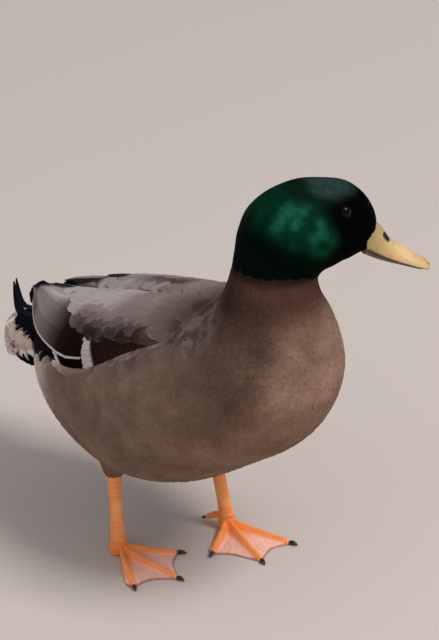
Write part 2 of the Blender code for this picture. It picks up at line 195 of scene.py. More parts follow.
def fromHead(points):
    # (ahead along the bill, left, above the mouth) pitched down and turned with the head
    pitch = math.radians(headTerms["pitch"])
    ahead, left, above = np.moveaxis(np.asarray(points, float), -1, 0)
    forward = headTerms["mouth"][0] + ahead * math.cos(pitch) + above * math.sin(pitch)
    up = headTerms["mouth"][1] - ahead * math.sin(pitch) + above * math.cos(pitch)
    return aboutNeck(np.stack([forward, left, up], axis=-1), headTerms["yaw"])


def toHead(points):
    # ahead along the bill, left and above the mouth: fromHead undone for the head's own turn
    aside = points - np.array([neckTurn["axis"][0], neckTurn["axis"][1], 0])
    forward, left, up = np.moveaxis(turned(aside, -headTerms["yaw"]), -1, 0)
    forward = forward + neckTurn["axis"][0] - headTerms["mouth"][0]
    up = up - headTerms["mouth"][1]
    pitch = math.radians(headTerms["pitch"])
    ahead = forward * math.cos(pitch) - up * math.sin(pitch)
    return ahead, left, forward * math.sin(pitch) + up * math.cos(pitch)


# Rows of the folded wing: forward, half width, middle and rise of the upright ellipse it lies
# over, the angle of its lower edge, and how far its outside stands off.
wingRows = (
    (58, 71, 139, 72, 45.5, 1),
    (42, 73, 131, 74, 42.5, 3),
    (14, 73, 121, 75, 36, 5),
    (-20, 71, 115, 69, 23.5, 7),
    (-50, 66, 114, 60, 16, 8),
    (-78, 58, 114, 49, 14, 9),
    (-102, 48, 116, 39, 10, 9),
    (-120, 38, 119, 31, 14, 8),
    (-134, 28, 123, 24, 18, 6),
)
wingTips = {1: (-152, 13, 130, 11, 20, 2.5), -1: (-143, 20, 126, 20, 18, 3.5)}
wingTerms = {"edge": 2.2, "midline": 3, "front": 58, "frontDrop": 1.5, "rearDrop": 4.5}


def wingRowAt(side, forward):
    # the wing's row at any forward, by way of the place along its rows
    rows = [*wingRows, wingTips[side]]
    places = np.linspace(0, len(rows) - 1, 400)
    forwards = curveAt(rows, places)[:, 0]
    return np.moveaxis(curveAt(rows, np.interp(-forward, -forwards, places)), -1, 0)


def wingAt(side, forward, across):
    # the ellipse grown by the stand-off, from the lower edge (across 0) to the back (1):
    # stand = edge + thickness * sin(pi * across)^0.7; its front and its lower edge sink in,
    # where the flank and breast lie over them, and the left wing's rear lies lower
    _, halfWidth, middle, rise, lowest, thickness = wingRowAt(side, forward)
    highest = np.degrees(np.arccos(np.clip(wingTerms["midline"] / halfWidth, 0, 1)))
    angle = np.radians(lowest + (highest - lowest) * across)
    arc = np.sin(np.pi * np.clip(across, 0, 1))
    stand = wingTerms["edge"] + thickness * arc**0.7
    low = smooth(across, 0.0, 0.3)
    front = smooth(wingTerms["front"] - forward, -2, 34)
    stand = stand * (0.35 + 0.65 * low) * (0.3 + 0.7 * front)
    stand = stand - wingTerms["frontDrop"] * (1 - front)
    outer = smooth(side * across, 0.45, 0.6) * (1 - 0.7 * smooth(side * across, 0.86, 0.95))
    stand = stand - wingTerms["rearDrop"] * smooth(-forward, 100, 120) * outer
    out = np.maximum((halfWidth + stand) * np.cos(angle), 0.4)
    up = middle + (rise + stand) * np.sin(angle)
    return np.stack([forward + 0 * out, side * out, up], axis=-1)


def aboveWingEdge(points):
    # millimetres that a point lies above the wing's lower edge, round the wing's ellipse
    forward, left, up = np.moveaxis(points, -1, 0)
    inside = np.clip(forward, wingTips[-1][0], wingRows[0][0])
    row = np.where(left > 0, wingRowAt(1, inside), wingRowAt(-1, inside))
    angle = np.degrees(np.arctan2((up - row[2]) / row[3], np.abs(left) / row[1]))
    return np.radians(angle - row[4]) * (row[1] + row[3]) / 2


def surfaceOf(points, wraps, outward=1):
    # a grid's unit normals, and its millimetres for each step along and across
    along = np.gradient(points, axis=0)
    across = np.gradient(points, axis=1)
    if wraps:
        across = (np.roll(points, -1, axis=1) - np.roll(points, 1, axis=1)) / 2
    normals = unit(np.cross(along, across)) * outward
    reach = [np.linalg.norm(step, axis=-1, keepdims=True) for step in (along, across)]
    return {"wraps": wraps, "values": np.concatenate([points, normals, *reach], axis=-1)}


def onSurface(surface, along, across):
    # points, normals, and reach along and across, blended from the four nearest grid points
    values = surface["values"]
    rows, columns = values.shape[:2]
    along = np.clip(along, 0, rows - 1.001)
    across = np.mod(across, columns) if surface["wraps"] else np.clip(across, 0, columns - 1.001)
    i, j = along.astype(int), across.astype(int)
    u, v = (along - i)[..., None], (across - j)[..., None]
    nextOne = (j + 1) % columns
    near = values[i, j % columns] * (1 - v) + values[i, nextOne] * v
    far = values[i + 1, j % columns] * (1 - v) + values[i + 1, nextOne] * v
    found = near * (1 - u) + far * u
    return found[..., :3], unit(found[..., 3:6]), found[..., 6], found[..., 7]


# The body's grid: a row for each half millimetre of its mean length, and even turns round it.
gridStep, bodyTurns = 0.5, 512
trialPlaces = np.linspace(0, len(bodyRows) - 1, 1601)
trial = bodyAt(*np.broadcast_arrays(trialPlaces[:, None], around(24)))
lengths = np.linalg.norm(np.diff(trial, axis=0), axis=-1).mean(axis=1)
lengths = np.concatenate([[0], np.cumsum(lengths)])
bodyPlaces = np.interp(np.arange(0, lengths[-1], gridStep), lengths, trialPlaces)
placeGrid, turnGrid = np.broadcast_arrays(bodyPlaces[:, None], around(bodyTurns))
bodyGrid = bodyAt(placeGrid, turnGrid)
# The flank swells along the wing's lower edge and the breast in front of it.
wingGap = aboveWingEdge(bodyGrid)
alongWing = smooth(bodyGrid[..., 0], -90, -60) * (1 - smooth(bodyGrid[..., 0], 64, 80))
swell = 2.6 * alongWing * bump(np.minimum(wingGap, 0), 0, 13) * (1 - smooth(wingGap, 5, 12))
frontEdge = bump(bodyGrid[..., 0], 62, 9) * smooth(wingGap, -6, 4)
swell = np.maximum(swell, 2.2 * frontEdge) * (placeGrid < 10)
body = surfaceOf(bodyGrid, True, -1)
bodyGrid = bodyGrid + body["values"][..., 3:6] * swell[..., None]
body = surfaceOf(bodyGrid, True, -1)
print("body surface", bodyGrid.shape)


# A vane's outline: share of its length, and half width there.
contourVane = ((0, 0.3), (0.22, 0.72), (0.48, 1.0), (0.72, 0.96), (0.9, 0.62), (1.0, 0.16))
smallVane = ((0, 0.4), (0.35, 0.95), (0.72, 0.9), (1.0, 0.2))
broadVane = (
    (0, 0.35), (0.1, 0.6), (0.22, 0.82), (0.36, 0.95), (0.5, 1.0), (0.62, 1.0), (0.73, 0.97),
    (0.82, 0.9), (0.89, 0.77), (0.945, 0.6), (0.98, 0.38), (1.0, 0.12),
)
# A vane's section: place from edge to edge, and 1 on its underside.
slimSection = ((-1, 0), (0, 0), (1, 0), (0, 1))
broadSection = (
    (-1, 0), (-0.9, 0), (-0.84, 0), (-0.4, 0), (-0.07, 0), (0, 0), (0.07, 0), (0.4, 0),
    (0.84, 0), (0.9, 0), (1, 0), (0.6, 1), (0, 1), (-0.6, 1),
)


def featherSolids(line, normal, half, rise, section, form):
    # every ring crosses its feather's line: line + v * half * sideways + height * normal, where
    # height = rise + camber * (1 - v^2) - cup * (v * half)^2 - under * thickness + shaft
    v, under = np.array(section, float).T
    heading = unit(np.gradient(line, axis=1))
    sideways = unit(np.cross(normal, heading))
    half = half[..., None]
    height = rise[..., None] + form["camber"] * (1 - v**2) - form["cup"] * (v * half) ** 2
    height = height - under * form["thickness"] + form["shaft"] * (np.abs(v) < 0.05) * (1 - under)
    across = (v * half)[..., None] * sideways[:, :, None]
    return line[:, :, None] + across + height[..., None] * normal[:, :, None]


def trackOn(surface, along, across, length, aside, shares, bend=0.0):
    # each feather's line from its root: back along the surface, turned aside by degrees that
    # grow by its bend towards the tip
    _, _, alongReach, acrossReach = onSurface(surface, along, across)
    shares = np.asarray(shares, float)
    angle = np.radians(aside[:, None] + np.atleast_1d(bend)[:, None] * shares)
    step = length[:, None] * np.diff(shares, prepend=0)
    back = np.cumsum(step * np.cos(angle), axis=1) / np.maximum(alongReach, 0.08)[:, None]
    over = np.cumsum(step * np.sin(angle), axis=1) / np.maximum(acrossReach, 0.02)[:, None]
    rows, columns = along[:, None] - back, across[:, None] + over
    points, normals, _, _ = onSurface(surface, rows, columns)
    return points, normals, rows, columns


def meshOf(name, vertices, loops, sizes, tone, vane=None, unwrap=None, lie=None):
    # a mesh from its corners, each face's corner count, and its attributes for each vertex
    mesh = bpy.data.meshes.new(name)
    mesh.vertices.add(len(vertices))
    mesh.vertices.foreach_set("co", np.ascontiguousarray(inWorld(vertices), np.float32).ravel())
    mesh.loops.add(len(loops))
    mesh.loops.foreach_set("vertex_index", loops.astype(np.int32))
    mesh.polygons.add(len(sizes))
    starts = np.concatenate([[0], np.cumsum(sizes)[:-1]])
    mesh.polygons.foreach_set("loop_start", starts.astype(np.int32))
    mesh.polygons.foreach_set("loop_total", sizes.astype(np.int32))
    mesh.update(calc_edges=True)
    colours = np.ones((len(vertices), 4), np.float32)
    colours[:, :3] = tone
    mesh.attributes.new("tone", "FLOAT_COLOR", "POINT").data.foreach_set("color", colours.ravel())
    if vane is not None:
        place = mesh.attributes.new("vane", "FLOAT_VECTOR", "POINT")
        place.data.foreach_set("vector", np.ascontiguousarray(vane, np.float32).ravel())
    if unwrap is not None:
        layer = mesh.uv_layers.new(name="OFBake")
        layer.data.foreach_set("uv", np.ascontiguousarray(unwrap[loops], np.float32).ravel())
    mesh.shade_smooth()
    if lie is not None:
        mesh.normals_split_custom_set_from_vertices(inWorld(lie) - inWorld(0 * lie))
    piece = bpy.data.objects.new(name, mesh)
    bpy.context.scene.collection.objects.link(piece)
    return piece


def loftFaces(count, rings, corners):
    # quads between the rings of many lofts, and one face over each end
    first = np.arange(count)[:, None, None] * rings * corners
    k, m = np.arange(rings - 1)[:, None], np.arange(corners)
    near, far, after = k * corners, (k + 1) * corners, (m + 1) % corners
    quad = np.stack([near + m, far + m, far + after, near + after], axis=-1)
    quads = (first[..., None] + quad).reshape(-1)
    caps = (first + np.stack([m, (rings - 1) * corners + m[::-1]])).reshape(-1)
    sizes = np.concatenate([np.full(len(quads) // 4, 4), np.full(count * 2, corners)])
    return np.concatenate([quads, caps]), sizes


def facesInward(vertices, quads):
    # whether the volume that the faces close round their middle comes out below 0
    corner = vertices[quads] - vertices.mean(axis=0)
    a, b, c, d = (corner[:, k] for k in range(4))
    return np.einsum("ij,ij->", a, np.cross(b, c)) + np.einsum("ij,ij->", a, np.cross(c, d)) < 0


def closedShell(rings, capped=True):
    # one loft's corners and faces, the faces turned to look outward
    rows, corners = rings.shape[:2]
    loops, sizes = loftFaces(1, rows, corners)
    if not capped:
        loops, sizes = loops[: -2 * corners], sizes[:-2]
    vertices = rings.reshape(-1, 3)
    if facesInward(vertices, loops[: (rows - 1) * corners * 4].reshape(-1, 4)):
        starts = np.concatenate([[0], np.cumsum(sizes)[:-1]])
        place = np.arange(len(loops)) - np.repeat(starts, sizes)
        loops = loops[np.repeat(starts + sizes - 1, sizes) - place]
    return vertices, loops, sizes


def joinedShells(name, shells, toneOf):
    # several closed shells as one mesh, with the tone read at each corner
    moved, start = [], 0
    for vertices, loops, _ in shells:
        moved.append(loops + start)
        start += len(vertices)
    vertices = np.concatenate([shell[0] for shell in shells])
    sizes = np.concatenate([shell[2] for shell in shells])
    tone = toneOf(vertices) if callable(toneOf) else toneOf
    return meshOf(name, vertices, np.concatenate(moved), sizes, tone)


bakePatch = 0.003  # the side of one feather's patch of the OFBake map


def addFeathers(name, solids, tone, shares, section, place, seed, lie=None):
    # one joined mesh of closed vanes; OFBake holds each as a small patch at its root's place
    count, rings, corners, _ = solids.shape
    v, _ = np.array(section, float).T
    draw = np.random.default_rng(seed).random(count)
    vane = np.stack(
        np.broadcast_arrays(v, np.asarray(shares)[:, None], draw[:, None, None]), axis=-1
    )
    place = (place - place.min(axis=0)) / np.maximum(np.ptp(place, axis=0), 1e-6)
    patch = np.stack(np.broadcast_arrays(v / 2, np.asarray(shares)[:, None] - 0.5), axis=-1)
    unwrap = bakePatch + (1 - 2 * bakePatch) * place[:, None, None] + bakePatch * patch
    loops, sizes = loftFaces(count, rings, corners)
    vertices = solids.reshape(-1, 3)
    tone = np.broadcast_to(tone, solids.shape).reshape(-1, 3)
    vane, unwrap = vane.reshape(-1, 3), unwrap.reshape(-1, 2)
    return meshOf(name, vertices, loops, sizes, tone, vane, unwrap, lie)


def strewn(surface, first, last, spacing, seed):
    # roots in rows up a surface, half a space apart from row to row, and jittered a little
    draw = np.random.default_rng(seed)
    values = surface["values"]
    columns = values.shape[1]
    alongs, acrosses = [], []
    along = float(first)
    while along < last:
        row = values[int(along)]
        rowsApart, apart = spacing(int(along))
        run = np.concatenate([[0], np.cumsum(row[:, 7] / apart)])
        count = max(int(run[-1]), 3)
        marks = (np.arange(count) + 0.5 * (len(alongs) % 2)) / count * run[-1]
        marks = marks + draw.uniform(-0.28, 0.28, count)
        marks = np.mod(marks, run[-1]) if surface["wraps"] else np.clip(marks, 0, run[-1])
        acrosses.append(np.interp(marks, run, np.arange(columns + 1)))
        reach = np.maximum(np.interp(acrosses[-1], np.arange(columns), row[:, 6]), 0.1)
        alongs.append(along + draw.uniform(-0.3, 0.3, count) * rowsApart / reach)
        along += rowsApart / row[:, 6].mean()
    return np.concatenate(alongs), np.concatenate(acrosses)


def newNode(tree, kind, **settings):
    # a node with its properties set by name, and its inputs by number as in0, in1...
    node = tree.nodes.new(kind)
    for key, value in settings.items():
        if key.startswith("in") and key[2:].isdigit():
            node.inputs[int(key[2:])].default_value = value
        else:
            setattr(node, key, value)
    return node


def maths(tree, operation, first, second=None, third=None):
    # a Math node on sockets or plain numbers
    node = newNode(tree, "ShaderNodeMath", operation=operation)
    for slot, value in enumerate((first, second, third)):
        if isinstance(value, bpy.types.NodeSocket):
            tree.links.new(value, node.inputs[slot])
        elif value is not None:
            node.inputs[slot].default_value = value
    return node.outputs[0]


def newGroup(name, usual):
    # a group with these inputs at their usual values, which puts out a colour and a height
    group = bpy.data.node_groups.new(name, "ShaderNodeTree")
    for label, value in usual.items():
        socket = group.interface.new_socket(label, in_out="INPUT", socket_type="NodeSocketFloat")
        socket.default_value = value
    group.interface.new_socket("Colour", in_out="OUTPUT", socket_type="NodeSocketColor")
    group.interface.new_socket("Height", in_out="OUTPUT", socket_type="NodeSocketFloat")
    given = group.nodes.new("NodeGroupInput").outputs
    return group, given, group.nodes.new("NodeGroupOutput").inputs


def noiseIn(group, size, detail):
    # noise on Object coordinates, its scale from a socket of the group
    place = group.nodes.new("ShaderNodeTexCoord")
    noise = newNode(group, "ShaderNodeTexNoise")
    noise.inputs["Detail"].default_value = detail
    group.links.new(place.outputs["Object"], noise.inputs["Vector"])
    group.links.new(size, noise.inputs["Scale"])
    return noise.outputs["Fac"]


def litTone(group, light, colour):
    # the mesh's tone attribute times this light, sent to the group's colour
    tone = newNode(group, "ShaderNodeAttribute", attribute_name="tone")
    scaled = newNode(group, "ShaderNodeVectorMath", operation="SCALE")
    group.links.new(tone.outputs["Color"], scaled.inputs[0])
    group.links.new(light, scaled.inputs["Scale"])
    group.links.new(scaled.outputs[0], colour)


def vaneGroup():
    # light = 1 + barbs * wave - shaft on the middle line + bars * (noise - 0.5) + tip * v^4,
    # where wave = sin(2 pi * (count * v - slant * |u| + 31 * w)), u runs from edge to edge, v
    # from root to tip and w is random for each feather; colour = tone * light, and
    # height = 0.8 on the middle line + 0.5 * wave
    group, given, result = newGroup("vane", {
        "Barb count": 18.0, "Barb slant": 3.0, "Barbs": 0.08, "Shaft": 0.12, "Bars": 0.25,
        "Bar size": 900.0, "Tip": 0.1,
    })
    vane = newNode(group, "ShaderNodeAttribute", attribute_name="vane")
    apart = group.nodes.new("ShaderNodeSeparateXYZ")
    group.links.new(vane.outputs["Vector"], apart.inputs[0])
    side = maths(group, "ABSOLUTE", apart.outputs[0])
    run = maths(group, "MULTIPLY", apart.outputs[1], given["Barb count"])
    run = maths(group, "SUBTRACT", run, maths(group, "MULTIPLY", side, given["Barb slant"]))
    run = maths(group, "ADD", run, maths(group, "MULTIPLY", apart.outputs[2], 31.0))
    wave = maths(group, "SINE", maths(group, "MULTIPLY", run, 2 * math.pi))
    blotch = maths(group, "SUBTRACT", noiseIn(group, given["Bar size"], 3), 0.5)
    shaft = newNode(group, "ShaderNodeMapRange", in1=0.0, in2=0.09, in3=1.0, in4=0.0)
    group.links.new(side, shaft.inputs[0])
    light = maths(group, "MULTIPLY_ADD", wave, given["Barbs"], 1.0)
    shaftShade = maths(group, "MULTIPLY", shaft.outputs[0], given["Shaft"])
    light = maths(group, "SUBTRACT", light, shaftShade)
    light = maths(group, "MULTIPLY_ADD", blotch, given["Bars"], light)
    tip = maths(group, "POWER", apart.outputs[1], 4.0)
    light = maths(group, "MULTIPLY_ADD", tip, given["Tip"], light)
    litTone(group, light, result["Colour"])
    barbHeight = maths(group, "MULTIPLY", wave, 0.5)
    height = maths(group, "MULTIPLY_ADD", shaft.outputs[0], 0.8, barbHeight)
    group.links.new(height, result["Height"])
    return group


def grainGroup():
    # colour = tone * (0.88 + 0.24 * noise), and height = the same noise
    group, given, result = newGroup("grain", {"Size": 900.0})
    noise = noiseIn(group, given["Size"], 5)
    litTone(group, maths(group, "MULTIPLY_ADD", noise, 0.24, 0.88), result["Colour"])
    group.links.new(noise, result["Height"])
    return group


vane, grain = vaneGroup(), grainGroup()


def newMaterial(name, sockets):
    # a material whose shader takes these values
    made = bpy.data.materials.new(name)
    made.use_nodes = True
    shader = made.node_tree.nodes["Principled BSDF"]
    for socket, value in sockets.items():
        shader.inputs[socket].default_value = value
    return made


def groupMaterial(name, group, look):
    # a material whose colour and bump come from a group, placed with this look's own values
    made = newMaterial(name, look["shader"])
    tree, shader = made.node_tree, made.node_tree.nodes["Principled BSDF"]
    placed = newNode(tree, "ShaderNodeGroup", node_tree=group)
    for socket, value in look["group"].items():
        placed.inputs[socket].default_value = value
    bumps = tree.nodes.new("ShaderNodeBump")
    bumps.inputs["Strength"].default_value = look["bump"]
    bumps.inputs["Distance"].default_value = look["relief"]
    tree.links.new(placed.outputs["Colour"], shader.inputs["Base Color"])
    tree.links.new(placed.outputs["Height"], bumps.inputs["Height"])
    tree.links.new(bumps.outputs[0], shader.inputs["Normal"])
    return made


softLook = {
    "shader": {"Roughness": 0.9, "Specular IOR Level": 0.04}, "bump": 0.3, "relief": 0.0003,
    "group": {"Barbs": 0.04, "Shaft": 0.05, "Bars": 0.42, "Bar size": 420.0, "Tip": 0.1},
}
headLook = {
    "shader": {"Roughness": 0.6, "Specular IOR Level": 0.015}, "bump": 0.25, "relief": 0.0003,
    "group": {"Barbs": 0.08, "Shaft": 0.0, "Bars": 0.5, "Bar size": 300.0, "Tip": 0.08},
}
broadLook = {
    "shader": {"Roughness": 0.8, "Specular IOR Level": 0.02}, "bump": 0.5, "relief": 0.0003,
    "group": {
        "Barb count": 42.0, "Barb slant": 9.0, "Barbs": 0.05, "Shaft": 0.15,
        "Bars": 0.3, "Bar size": 260.0, "Tip": 0.02,
    },
}
glossLook = {
    "shader": {"Roughness": 0.5, "Specular IOR Level": 0.04}, "bump": 0.5, "relief": 0.0003,
    "group": {
        "Barb count": 30.0, "Barb slant": 6.0, "Barbs": 0.12, "Shaft": 0.1,
        "Bars": 0.3, "Bar size": 300.0, "Tip": 0.0,
    },
}
softFeather = groupMaterial("body_feathers", vane, softLook)
neckFeather = groupMaterial("neck_feathers", vane, softLook)
headFeather = groupMaterial("head_feathers", vane, headLook)
wingFeather = groupMaterial("wing_feathers", vane, broadLook)
tailFeather = groupMaterial("tail_feathers", vane, broadLook)
curlFeather = groupMaterial("curl_feathers", vane, glossLook)


# The plumage's colours, as displayed values of 0 to 255. The teal is a painted sheen and the crown's
# grey a painted reflection on the head's green.
plumage = {
    "green": (3, 44, 29), "tealSheen": (32, 92, 80), "leaf": (5, 54, 22), "crown": (44, 62, 60),
    "nape": (6, 18, 13), "face": (1, 1, 1), "throat": (1, 12, 5),
    "neck": (76, 52, 43), "breast": (132, 104, 88), "flank": (120, 98, 84),
    "mantle": (114, 94, 88), "mantleDark": (80, 62, 55), "rear": (238, 226, 216),
    "black": (10, 9, 12), "blue": (14, 12, 32), "straw": (196, 168, 108),
}
paint = {name: linear(*colour) for name, colour in plumage.items()}


greenEdge = {"level": 255.4, "tilt": 0.9, "heading": 0.75, "ragged": 1.6, "lumps": 3.5}


def greenLine(points):
    # above 0 on the head's green: up - level - tilt * cos(turn round the neck), a little ragged
    forward, left, up = np.moveaxis(points, -1, 0)
    heading = np.arctan2(left - neckTurn["axis"][1], forward - neckTurn["axis"][0])
    tilt = greenEdge["tilt"] * np.cos(heading + greenEdge["heading"])
    ragged = greenEdge["ragged"] * (cloud(points, greenEdge["lumps"]) - 0.5)
    return up - greenEdge["level"] - tilt - ragged


rootEdge = {"ahead": -8.2, "above": 7.5, "reach": 4.2, "spread": 8.5}


def baseOfBill(points):
    # above 0 on the bare sides of the bill's root, which reach back in a lobe on each cheek:
    # ahead - edge - reach * ((above - middle) / spread)^2
    ahead, _, above = toHead(points)
    lobe = rootEdge["reach"] * ((above - rootEdge["above"]) / rootEdge["spread"]) ** 2
    return ahead - rootEdge["ahead"] - lobe


def headTone(points):
    # green in soft lumps, with a painted teal sheen on the cheek, a painted grey reflection on the
    # crown, and black over the face
    ahead, left, above = toHead(points)
    aside = np.abs(left)
    lumps, fine = cloud(points, 7), cloud(points + 50, 3)
    tone = mix(paint["green"], paint["leaf"], 0.7 * smooth(lumps, 0.45, 0.8))
    # the teal patch on the cheek is painted sheen, where the light glances off the green
    cheekSheen = bump(ahead, -66, 22) * bump(above, 9, 13) * smooth(aside, 10, 22)
    tone = mix(tone, paint["tealSheen"], cheekSheen * (0.1 + 0.55 * smooth(lumps + 0.6 * fine, 0.5, 1.3)))
    tone = tone * (0.74 + 0.52 * smooth(lumps, 0.15, 0.85))[..., None]
    tone = mix(tone, paint["nape"], 1 - smooth(ahead, -104, -84) * smooth(above, -18, -4))
    tone = mix(tone, paint["throat"], 0.9 * (1 - smooth(above, -18, -2)))
    # the grey patch over the crown is a painted reflection of the pale sky on the top of the head
    crown = smooth(above - 0.08 * (ahead + 50), 25, 30) * smooth(ahead, -68, -58)
    tone = mix(tone, paint["nape"], smooth(above, 15, 24) * (0.5 + 0.5 * lumps))
    tone = mix(tone, paint["crown"], crown * (0.75 + 0.5 * (fine - 0.5)))
    face = -33 - 13 * bump(above, 21, 9) + 8 * smooth(above, 30, 38)
    tone = mix(tone, paint["face"], smooth(ahead - face, -13, 4))
    return mix(tone, paint["straw"], baseOfBill(points) > 0)


# The height above which the rump is black, by forward, and how far the head's feathers reach.
rumpEdge = ((-125, 109), (-116, 114), (-107, 119), (-97, 124), (-78, 128), (-66, 134), (-58, 165))
headPlaces = {"neck": 9.5, "all": 12.5}


def bodyTone(points, place, turn, tips):
    # the colour at these points of feathers with these tips, which keep to one side or the
    # other of the green's edge: flank to breast and neck along the body, shaded on the right
    # of the breast, mantle on top, pale at the rear and black on the rump
    forward, _, up = np.moveaxis(points, -1, 0)
    top = np.sin(turn)
    lumps, soft, fine = cloud(points, 30), cloud(points + 90, 13), cloud(points, 5)
    breast = smooth(place, 5.2, 8.0) * (1 - smooth(top, 0.2, 0.9))
    tone = mix(paint["flank"], paint["breast"], breast)
    tone = mix(tone, paint["neck"], smooth(up, 196, 240) * smooth(place, 7.2, 9.5))
    shade = smooth(-np.cos(turn), 0.58, 0.94) * smooth(place, 6.2, 8.2)
    shade = shade * (1 - smooth(place, 9.6, 11))
    tone = tone * (1 - 0.52 * shade)[..., None]
    mantle = smooth(top + 0.15 * smooth(place, 7, 8), 0.45, 0.8) * (1 - smooth(place, 8.8, 9.8))
    tone = mix(tone, mix(paint["mantle"], paint["mantleDark"], smooth(fine, 0.35, 0.75)), mantle)
    rear = (1 - smooth(place, 1.9, 3.5)) * smooth(top, -0.75, -0.2)
    tone = mix(tone, paint["rear"], 0.9 * rear)
    black = (1 - smooth(place, 0.55, 1.2)) * (1 - smooth(up, 128, 136))
    rump = smooth(aboveEdge(rumpEdge, forward, up), -1.2, 1.2) * (place < 4)
    black = np.maximum(black, rump)
    tone = mix(tone, paint["black"], black)
    tone = tone * (1 + 0.34 * (lumps - 0.5) + 0.4 * (soft - 0.5) + 0.2 * (fine - 0.5))[..., None]
    collar = smooth(greenLine(points), -9, -1) * (place > headPlaces["neck"])
    tone = tone * (1 - 0.62 * collar)[..., None]
    onHead = np.maximum(smooth(greenLine(tips), -0.2, 0.2), place > headPlaces["all"])
    onHead = onHead * (place > headPlaces["neck"])
    return mix(tone, headTone(points), np.broadcast_to(onHead, tone.shape[:-1]))


eye = {"behind": 36, "out": 15.6, "above": 22, "radius": 6, "tilt": (0.12, 0.9, 0.42)}
eyeCentres = {side: fromHead((-eye["behind"], side * eye["out"], eye["above"])) for side in sideName}


def eyeAxis(side):
    # out of the head, a little forward and up
    ahead, out, above = eye["tilt"]
    there = fromHead((ahead - eye["behind"], side * (eye["out"] + out), eye["above"] + above))
    return unit(there - eyeCentres[side])


def fromEye(points):
    # millimetres from the nearer eye's axis, and large on the far side of the head
    farAway = 99.0
    nearest = np.full(points.shape[:-1], farAway)
    for side in sideName:
        offset = points - eyeCentres[side]
        out = offset @ eyeAxis(side)
        away = np.linalg.norm(offset - out[..., None] * eyeAxis(side), axis=-1)
        nearest = np.minimum(nearest, np.where(out > 0, away, farAway))
    return nearest


# The coat's measures by place from vent to bill: feather length, half width, rows apart,
# feathers apart, and how deep the roots lie.
coatPlaces = (0, 2, 5, 7, 8.5, 10, 11.5, 13, 15, 17, 20)
coat = {
    "length": (17, 19, 18, 15, 13, 10, 6.5, 4.6, 3.8, 3.0, 2.0),
    "half": (4.2, 4.6, 4.4, 3.7, 3.1, 2.4, 1.6, 1.25, 1.1, 0.9, 0.6),
    "rows": (4.6, 5.0, 4.8, 3.9, 3.2, 2.4, 1.6, 1.2, 1.05, 0.9, 0.62),
    "apart": (4.4, 4.8, 4.6, 3.8, 3.1, 2.4, 1.7, 1.35, 1.2, 1.0, 0.72),
    "depth": (2.4, 2.2, 1.9, 1.6, 1.5, 1.3, 1.1, 1.0, 0.9, 0.8, 0.5),
}


def coatMeasure(what, place):
    # one of the coat's measures, read between its places
    return np.interp(place, coatPlaces, coat[what])


def bodyRoots(firstPlace, lastPlace, seed):
    # feather roots over a length of the body, as near together as the coat is there
    first = np.searchsorted(bodyPlaces, firstPlace)
    last = np.searchsorted(bodyPlaces, lastPlace)

    def spacing(row):
        # millimetres between rows, and between the feathers of this row
        place = bodyPlaces[min(row, len(bodyPlaces) - 1)]
        return coatMeasure("rows", place), coatMeasure("apart", place)

    return strewn(body, first, last, spacing, seed)


pieceTriangles = 195000


def contourCoat(name, surface, along, across, looks, toneOf, material, seed):
    # contour feathers at these roots, in pieces of under 200,000 triangles: each rises from
    # rise = above - depth * (1 - share)^1.6 + lift * share, from root (0) to tip (1)
    draw = np.random.default_rng(seed)
    count = len(along)
    shares, widths = np.array(looks["outline"]).T
    line, normal, rows, columns = trackOn(
        surface, along, across, looks["length"], looks["aside"], shares
    )
    depth = looks["depth"][:, None]
    lift = draw.uniform(*looks["lift"], (count, 1)) * depth
    rise = looks.get("above", 0) - depth * (1 - shares) ** 1.6 + lift * shares
    wide = looks["half"][:, None] * widths * draw.uniform(0.92, 1.08, (count, len(shares)))
    scale = float(looks["half"].mean())
    form = {"camber": 0.1 * scale, "cup": 0.01 / scale, "thickness": 0.08 * scale, "shaft": 0}
    solids = featherSolids(line, normal, wide, rise, slimSection, form)
    tone = toneOf(line, rows, columns)
    tone = tone * draw.uniform(1 - looks["uneven"], 1 + looks["uneven"], (count, 1, 1))
    tone = tone[:, :, None] * (1 - looks["dusk"] * (1 - shares[:, None, None]) ** 2)
    # each corner's normal leans to the surface's own, so the coat reads as one soft form
    upright = unit(np.broadcast_to(normal[:, :, None], solids.shape))
    side = np.cross(normal, unit(np.gradient(line, axis=1)))[:, :, None]
    v, under = np.array(slimSection, float).T
    lie = unit(upright + looks["round"] * v[:, None] * side) * (1 - 2 * under[:, None])
    triangles = count * (2 * len(slimSection) * (len(shares) - 1) + 4)
    order = np.argsort(along, kind="stable")
    groups = np.array_split(order, math.ceil(triangles / pieceTriangles))
    for number, group in enumerate(groups, 1):
        unwrap = np.stack([across[group], along[group]], axis=-1)
        piece = addFeathers(
            f"{name}_{number}", solids[group], tone[group], shares, slimSection, unwrap, seed,
            lie=lie[group].reshape(-1, 3),
        )
        finish(piece, material)
    print(name, count, "feathers in", len(groups))


def finish(piece, material):
    # every piece stands on the one body, in the slot that its material is named for
    piece.data.materials.append(material)
    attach(piece, "root")


# How far the flank's feathers reach up over the wing's lower edge, by forward.
flankOverlap = (
    (-80, 9), (-66, 6), (-58, 3), (-45, 0), (-15, 0), (3, -4), (22, -3), (38, 1), (52, 2),
)
# Where the wings may cover the body, by forward and place, how far tips may reach over them,
# and how far the coat stays from the bill's root and from the eyes.
bareTerms = {"rear": -150, "front": 61, "place": 8, "tips": 7.5, "billPlace": 18, "eye": 4.4}


